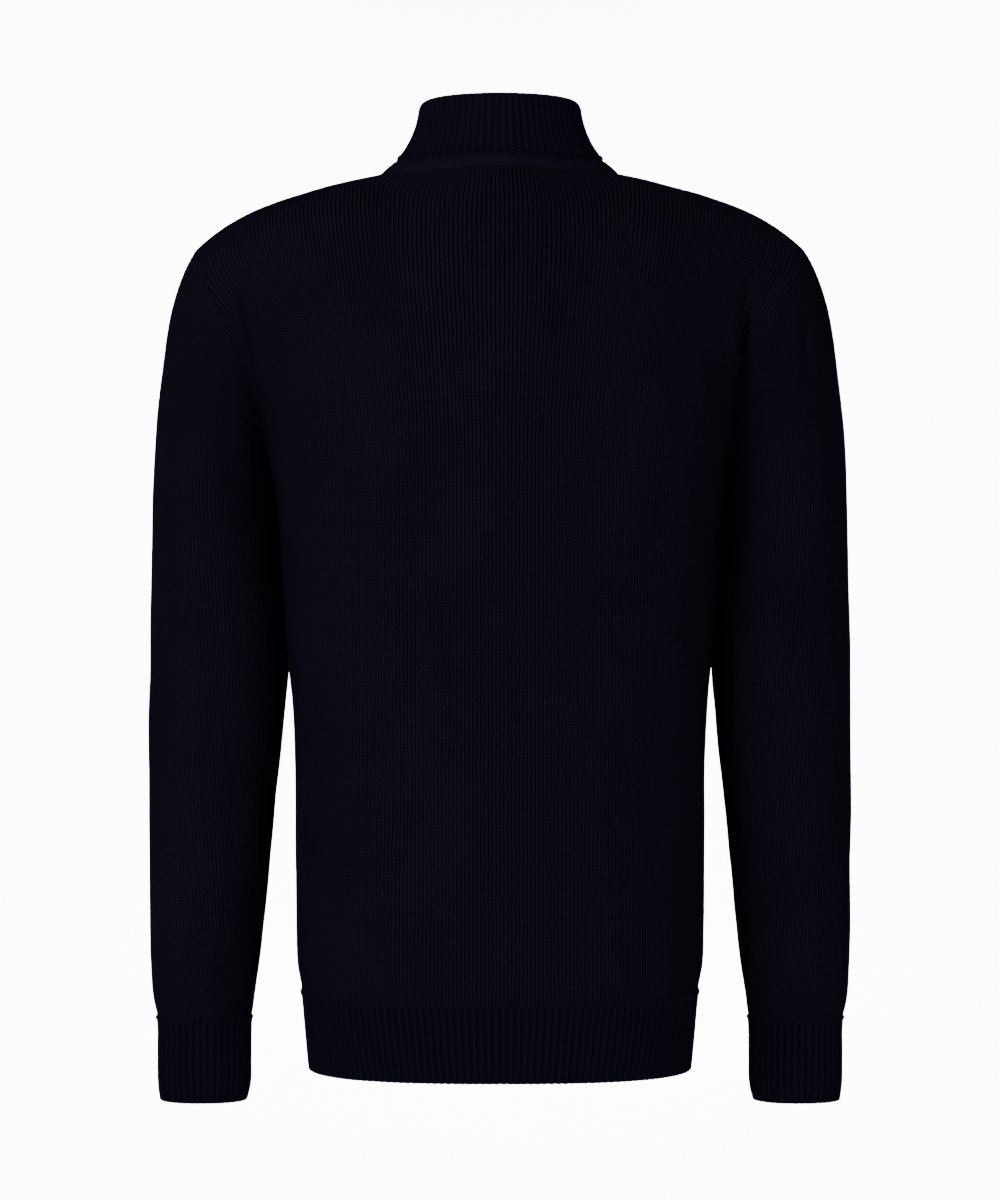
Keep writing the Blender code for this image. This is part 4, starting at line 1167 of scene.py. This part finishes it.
def hem_grid(face, ribs):
    """Points and normals of one half of the back hem, or of one front's, with its ribs leaning."""
    length = HEM_SEAM_Z - HEM_Z - LINK_GAP
    rows = edge_rows(length)
    shares = np.linspace(0, 1, ribs * RIB_STEPS + 1)
    levels = HEM_SEAM_Z - LINK_GAP - rows * length
    points = []
    for row, z in zip(rows, levels):
        lean = 0.0045 * (row - 0.3) * np.sin(math.pi * shares) * shares
        wave = 0.0012 * np.sin(9 * shares + 5 * row) * np.sin(math.pi * shares)
        points.append(torso_row(z, (shares - lean + wave).clip(0, 1), face))
    points = np.array(points)
    normals = face * grid_normals(points)
    normals[0, :, 2] = 0
    normals[:, -1, 1] = 0
    return points, unit(normals), edge_drop(rows, length)


def rib_wall(points, normals, heights, drop):
    outer = points + normals * (heights[None, :] - drop[:, None])[..., None]
    return outer, (points - normals * RIB_CLOTH)[:, ::INNER_STEP]


def add_hem(materials):
    points, normals, drop = hem_grid(1, HEM_BACK_RIBS // 2)
    points, normals = whole(points), whole(normals)
    outer, inner = rib_wall(points, normals, rib_shape(points.shape[1]), drop)
    across = np.broadcast_to(rib_across(points.shape[1]), points.shape[:2])
    shell = add_shell("rib_hem_back", outer, inner, across, -run_up(points), materials)
    place_shell(shell, "hem_back")
    add_seam_loops("seam_loops_hem_back", outer[0], normals[0])
    points, normals, drop = hem_grid(-1, HEM_FRONT_RIBS)
    outer, inner = rib_wall(points, normals, rib_shape(points.shape[1]), drop)
    across = np.broadcast_to(rib_across(points.shape[1]), points.shape[:2])
    shell = (outer, inner, across, -run_up(points))
    add_pair("rib_", "", "hem_front_", shell, materials, seam_normals=normals[0])


def sleeve_down():
    """How far down the sleeve each row is, from 0 to 1, as the fold tables count it."""
    cap = np.arange(SLEEVE_CAP_ROWS) / SLEEVE_CAP_ROWS * SLEEVE_MARKS[0][1]
    levels = np.array((SLEEVE_TOP_Z,) + SLEEVE_ROWS + (CUFF_SEAM_Z,))
    z, shares = zip(*SLEEVE_MARKS)
    return np.concatenate([cap, np.interp(-levels, -np.array(z), shares)])


def add_sleeve(name, side, creases, materials):
    points, seam_normal = sleeve_grid()
    turns = np.arange(points.shape[1]) / points.shape[1]
    down = sleeve_down()
    ends = np.clip(down / 0.10, 0, 1) * np.clip((1 - down) / 0.03, 0, 1)
    depth = fold_depth(SLEEVE_FOLDS + creases, turns, down) * ends[:, None]
    across, up = run_across(points, 0, closed=True), -run_up(points)
    half = points.shape[1] // 2
    across = np.where(np.arange(across.shape[1]) > half, across - across[:, -1:], across)
    waves = ripples(across[:, :-1] * side, up) * ends[:, None]
    outer = points + grid_normals(points, closed=True) * (depth - waves)[..., None]
    normals = -grid_normals(outer, closed=True)
    normals[0] = seam_normal
    normals[-1, :, 2] = 0
    inner = (outer - unit(normals) * PLAIN_CLOTH)[:, ::INNER_STEP]
    up = up - up[-1]
    if side < 0:
        outer, inner, across = mirrored(outer), mirrored(inner), -across
    shell = add_shell("knit_" + name, outer, inner, across, up, materials, closed=True)
    place_shell(shell, name)


def even_ring(z, columns, row):
    """The sleeve's ring at level z with its points evenly apart, and a slight wave in the ribs."""
    turns = np.linspace(0, 1, RING_SAMPLES)
    ring = sleeve_ring(z, turns)
    run = lengths_along(ring)
    wanted = np.arange(columns) / columns
    wanted = wanted + 0.0022 * np.sin(2 * math.pi * (2 * wanted + 0.9 * row)) * row
    return at_lengths(ring, run, wanted % 1 * run[-1])


def add_cuffs(materials):
    columns = CUFF_RIBS * RIB_STEPS
    top = CUFF_SEAM_Z - LINK_GAP / 2
    length = top - CUFF_Z
    rows = edge_rows(length)
    points = np.array([even_ring(top - row * length, columns, row) for row in rows])
    normals = -grid_normals(points, closed=True)
    normals[0, :, 2] = 0
    normals = unit(normals)
    outer, inner = rib_wall(points, normals, rib_shape(columns), edge_drop(rows, length))
    across = np.broadcast_to(rib_across(columns + 1), (len(rows), columns + 1))
    shell = (outer, inner, across, -run_up(points))
    add_pair("rib_", "", "cuff_", shell, materials, closed=True, seam_normals=normals[0])


def collar_foot(shares):
    """How far up the collar its plain band reaches: further at the sides of the neck."""
    return 0.24 + 0.06 * np.sin(2 * math.pi * shares) ** 2


def add_collar(materials):
    """The stand collar: a narrow plain band at its foot, then ribs to its rounded top edge."""
    columns = COLLAR_RIBS * RIB_STEPS + 1
    shares = np.linspace(0, 1, columns)
    foot = collar_foot(shares)
    band = np.linspace(0, 1, BAND_ROWS)[:, None] * foot
    rib_rows = edge_rows(COLLAR_RIB_LENGTH)[1:]
    rows = np.concatenate([band, foot + rib_rows[:, None] * (1 - foot)])
    points, seam_normal = collar_surface(shares, rows)
    normals = grid_normals(points)
    normals[0] = seam_normal
    in_rib = np.concatenate([np.zeros(len(band)), rib_rows])
    rise = np.clip(in_rib / RIB_START, 0, 1)
    roll = BAND_ROLL * np.sin(math.pi * np.linspace(0, 1, len(band))) ** 0.6
    roll[0], roll[-1] = BAND_ENDS
    heights = rib_shape(columns)[None, :] * rise[:, None]
    heights[: len(band)] += roll[:, None]
    heights = heights - edge_drop(in_rib, COLLAR_RIB_LENGTH)[:, None]
    outer = points + normals * heights[..., None]
    inner = (points - normals * RIB_CLOTH)[:, ::INNER_STEP]
    across = np.broadcast_to(rib_across(columns), points.shape[:2])
    in_band = (np.arange(len(rows) - 1) < len(band) - 1).astype(int)
    shell = add_shell("rib_collar", outer, inner, across, run_up(points), materials, row_materials=in_band)
    place_shell(shell, "collar")
    foot_line, foot_normal = outer[len(band)], normals[len(band)]
    add_seam_loops("seam_loops_collar", foot_line, foot_normal, COLLAR_LOOP_PITCH)
    add_seam_hole_shade("seam_hole_shade_collar", foot_line, foot_normal, COLLAR_LOOP_PITCH)


# Linked seams
def add_beads(name, centres, along, outward, size, material):
    """Small rounded loops of yarn, one at each centre. size is half of each one's three sizes."""
    rings, sides = BEAD_RINGS, BEAD_SIDES
    unit_points = [(0.0, 0.0, 1.0)]
    for ring in range(1, rings):
        lean = math.pi * ring / rings
        for side in range(sides):
            turn = 2 * math.pi * side / sides
            reach = math.sin(lean)
            unit_points.append((reach * math.cos(turn), reach * math.sin(turn), math.cos(lean)))
    unit_points.append((0.0, 0.0, -1.0))
    last = len(unit_points) - 1
    unit_faces = []
    for side in range(sides):
        beside = (side + 1) % sides
        unit_faces.append((0, 1 + side, 1 + beside))
        unit_faces.append((last, last - sides + beside, last - sides + side))
        for ring in range(rings - 2):
            low, high = 1 + ring * sides, 1 + (ring + 1) * sides
            unit_faces.append((low + side, high + side, high + beside, low + beside))
    ball = np.array(unit_points) * size
    second = np.cross(outward, along)
    points = centres[:, None] + ball[None, :, :1] * along[:, None]
    points = points + ball[None, :, 1:2] * second[:, None] + ball[None, :, 2:] * outward[:, None]
    faces = []
    for k in range(len(centres)):
        faces += [tuple(k * (last + 1) + i for i in face) for face in unit_faces]
    return link_mesh(name, points.reshape(-1, 3), faces, [material])


def link_places(points, outward, pitch, between):
    """Places and directions along a line: one in the middle of each step, or one between every two."""
    run = lengths_along(points)
    count = round(run[-1] / pitch)
    numbers = np.arange(count - 1) + 1 if between else np.arange(count) + 0.5
    wanted = numbers / count * run[-1]
    centres = at_lengths(points, run, wanted)
    along = unit(np.gradient(centres, axis=0))
    out = unit(at_lengths(outward, run, wanted))
    return centres, along, unit(out - (out * along).sum(1, keepdims=True) * along)


def add_seam_loops(name, points, outward, pitch=LOOP_PITCH):
    """The row of yarn loops that links two pieces, a little above a line of points."""
    centres, along, out = link_places(points, outward, pitch, False)
    loops = add_beads(name, centres + out * LOOP_RISE, along, out, LOOP_SIZE, LOOP_YARN)
    on_garment(loops)


def add_seam_hole_shade(name, points, outward, pitch):
    """Dark beads of painted shade in the small holes between the loops of a linked seam, in two staggered
    rows.
    """
    centres, along, out = link_places(points, outward, pitch, True)
    stagger = np.where(np.arange(len(centres)) % 2, HOLE_STAGGER, -HOLE_STAGGER)[:, None]
    centres = centres + np.cross(out, along) * stagger + out * HOLE_RISE
    holes = add_beads(name, centres, along, out, HOLE_SIZE, GAP_SHADE)
    on_garment(holes)


def add_marks():
    """The fashioning marks along the armholes: slanted stitches over the seam, each with a dark bead of
    painted shade for its gap.
    """
    heights = np.linspace(*MARK_HEIGHTS, MARK_COUNT)
    for face, face_name in ((1, "back"), (-1, "front")):
        line, crossing, normal = armhole_seam(heights, face)
        along = unit(np.cross(normal, crossing))
        slant = unit(crossing * 0.8 + along * 0.6)
        over = line + normal * MARK_RISE
        under = line + along * MARK_GAP_SHIFT - normal * MARK_GAP_SINK
        for side, turned in SIDES:
            name = face_name + "_" + side
            lean, out = turned(slant), turned(normal)
            marks = add_beads("marks_" + name, turned(over), lean, out, MARK_SIZE, LOOP_YARN)
            gaps = add_beads("mark_gap_shade_" + name, turned(under), lean, out, MARK_GAP_SIZE, GAP_SHADE)
            on_garment(marks)
            on_garment(gaps)


# Zip
def add_tapes(material):
    points, normals = front_grid()
    middle = points[:, :1].copy()
    middle[..., 0] = SEAM_GAP
    points = np.concatenate([middle, points], axis=1)
    normals = unit(np.concatenate([normals[:, :1] * (0, 1, 1), normals], axis=1))
    outer, inner = (points - normals * depth for depth in TAPE_DEPTHS)
    across, up = run_across(outer, 0), run_up(outer)
    shell = (outer, inner, across, up)
    add_pair("weave_", "zip_", "tape_", shell, [material, material])


def add_teeth(material):
    """Interlocked teeth along the closed zip, left and right in turn."""
    lengths = np.arange(BOX_LENGTH + 4 * SEAM_GAP, slider_end() - TOOTH_CLEARANCE, TOOTH_PITCH)
    centres, outward = front_line(lengths)
    upward = unit(np.gradient(centres, axis=0))
    size = len(TOOTH_OUTLINE)
    points, faces = [], []
    for k, (centre, out, rise) in enumerate(zip(centres, outward, upward)):
        side = 1 if k % 2 else -1
        first = len(points)
        for depth, inset in TOOTH_LAYERS:
            for across, along in TOOTH_OUTLINE:
                x = side * (TOOTH_INNER_X + (across - TOOTH_INNER_X) * inset)
                lift = rise * along * TOOTH_PITCH * TOOTH_STRETCH * inset
                points.append(centre + np.array([x, 0, 0]) + lift - out * depth)
        for layer in range(len(TOOTH_LAYERS) - 1):
            for i in range(size):
                beside = (i + 1) % size
                low, high = first + layer * size, first + (layer + 1) * size
                quad = (low + i, low + beside, high + beside, high + i)
                faces.append(quad if side > 0 else quad[::-1])
        cap, foot = tuple(range(first, first + size)), tuple(range(first + 3 * size, first + 4 * size))
        faces.append(cap[::-1] if side > 0 else cap)
        faces.append(foot if side > 0 else foot[::-1])
    points = np.array(points)
    if volume_of(points, faces) < 0:
        faces = [face[::-1] for face in faces]
    obj = link_mesh("zip_teeth", points, faces, [material], sharp_angle=40)
    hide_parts("zip_chain")
    on_garment(obj)


# Stage, light and camera
def add_stage():
    """A pale floor that curves up into a plain backdrop, with the garment hung over it."""
    profile = [(STAGE_END, FLOOR_Z)]
    for k in range(STAGE_STEPS + 1):
        turn = math.pi / 2 * k / STAGE_STEPS
        rise = STAGE_RADIUS * (1 - math.cos(turn))
        profile.append((STAGE_BACK - STAGE_RADIUS * math.sin(turn), FLOOR_Z + rise))
    profile.append((STAGE_BACK - STAGE_RADIUS, STAGE_END))
    count = len(profile)
    points = [(x, y, z) for x in (-STAGE_HALF_WIDTH, STAGE_HALF_WIDTH) for y, z in profile]
    faces = [(k, k + 1, count + k + 1, count + k) for k in range(count - 1)]
    stage = link_mesh("stage", points, faces, [stage_material()])


def add_lights():
    """The studio's lights, and a white world."""
    for lamp in LAMPS:
        light = bpy.data.lights.new(lamp.name, "AREA")
        light.shape = "RECTANGLE"
        light.size = light.size_y = lamp.size
        light.energy = lamp.power
        light.spread = math.radians(lamp.spread)
        obj = bpy.data.objects.new(lamp.name, light)
        obj.location = lamp.place
        direction = Vector(lamp.target) - Vector(lamp.place)
        obj.rotation_euler = direction.to_track_quat("-Z", "Y").to_euler()
        bpy.context.scene.collection.objects.link(obj)
    world = bpy.data.worlds.new("studio")
    world.use_nodes = True
    sky = world.node_tree.nodes["Background"]
    sky.inputs["Color"].default_value = (1.0, 1.0, 1.0, 1.0)
    sky.inputs["Strength"].default_value = WORLD_STRENGTH
    bpy.context.scene.world = world


def add_camera():
    """The photograph's view: level, from straight behind."""
    data = bpy.data.cameras.new("photo_view")
    data.sensor_fit = "VERTICAL"
    data.angle = 2 * math.atan(PHOTO_HEIGHT * PIXEL / 2 / CAMERA_DISTANCE)
    data.clip_start = 0.05
    camera = bpy.data.objects.new("photo_view", data)
    camera.location = (0.0, CAMERA_DISTANCE, CAMERA_Z)
    camera.rotation_euler = (math.pi / 2, 0, math.pi)
    bpy.context.scene.collection.objects.link(camera)
    bpy.context.scene.camera = camera


LOOP_YARN = yarn_material("linking_yarn", BEAD_COLOUR)
# A material of painted shade, for the dark beads in holes and gaps
GAP_SHADE = yarn_material("painted_gap_shade", HOLE_SHADE_COLOUR)


def main():
    plain = knit_material("knit_plain", YARN_LIGHT, YARN_SHADE_AND_DARK_FLECKS, WALE, COURSE, KNIT_WIDTH, KNIT_DEPTH)
    ribbing = (RIB_PITCH, RIB_COURSE, RIB_KNIT_WIDTH, RIB_KNIT_DEPTH)
    rib = knit_material("knit_rib", RIB_SHADED_YARN, RIB_GROOVE_SHADE, *ribbing)
    collar_rib = knit_material("knit_collar", COLLAR_SHADED_YARN, COLLAR_GROOVE_SHADE, *ribbing)
    band = yarn_material("linking_band", BAND_COLOUR)
    inside, tape, metal = purl_material(), tape_material(), metal_material()
    add_camera()
    add_lights()
    add_stage()
    cloth = [plain, inside]
    add_body(cloth)
    add_sleeve("sleeve_left", 1, LEFT_SLEEVE_CREASES, cloth)
    add_sleeve("sleeve_right", -1, RIGHT_SLEEVE_CREASES, cloth)
    add_hem([rib, rib])
    add_cuffs([rib, rib])
    add_collar([collar_rib, band, collar_rib])
    add_marks()
    add_tapes(tape)
    add_teeth(metal)
    for node in ("zip_box", "zip_stop_left", "zip_stop_right", "zip_slider", "zip_pull"):
        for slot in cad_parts[node].material_slots:
            slot.material = metal


main()
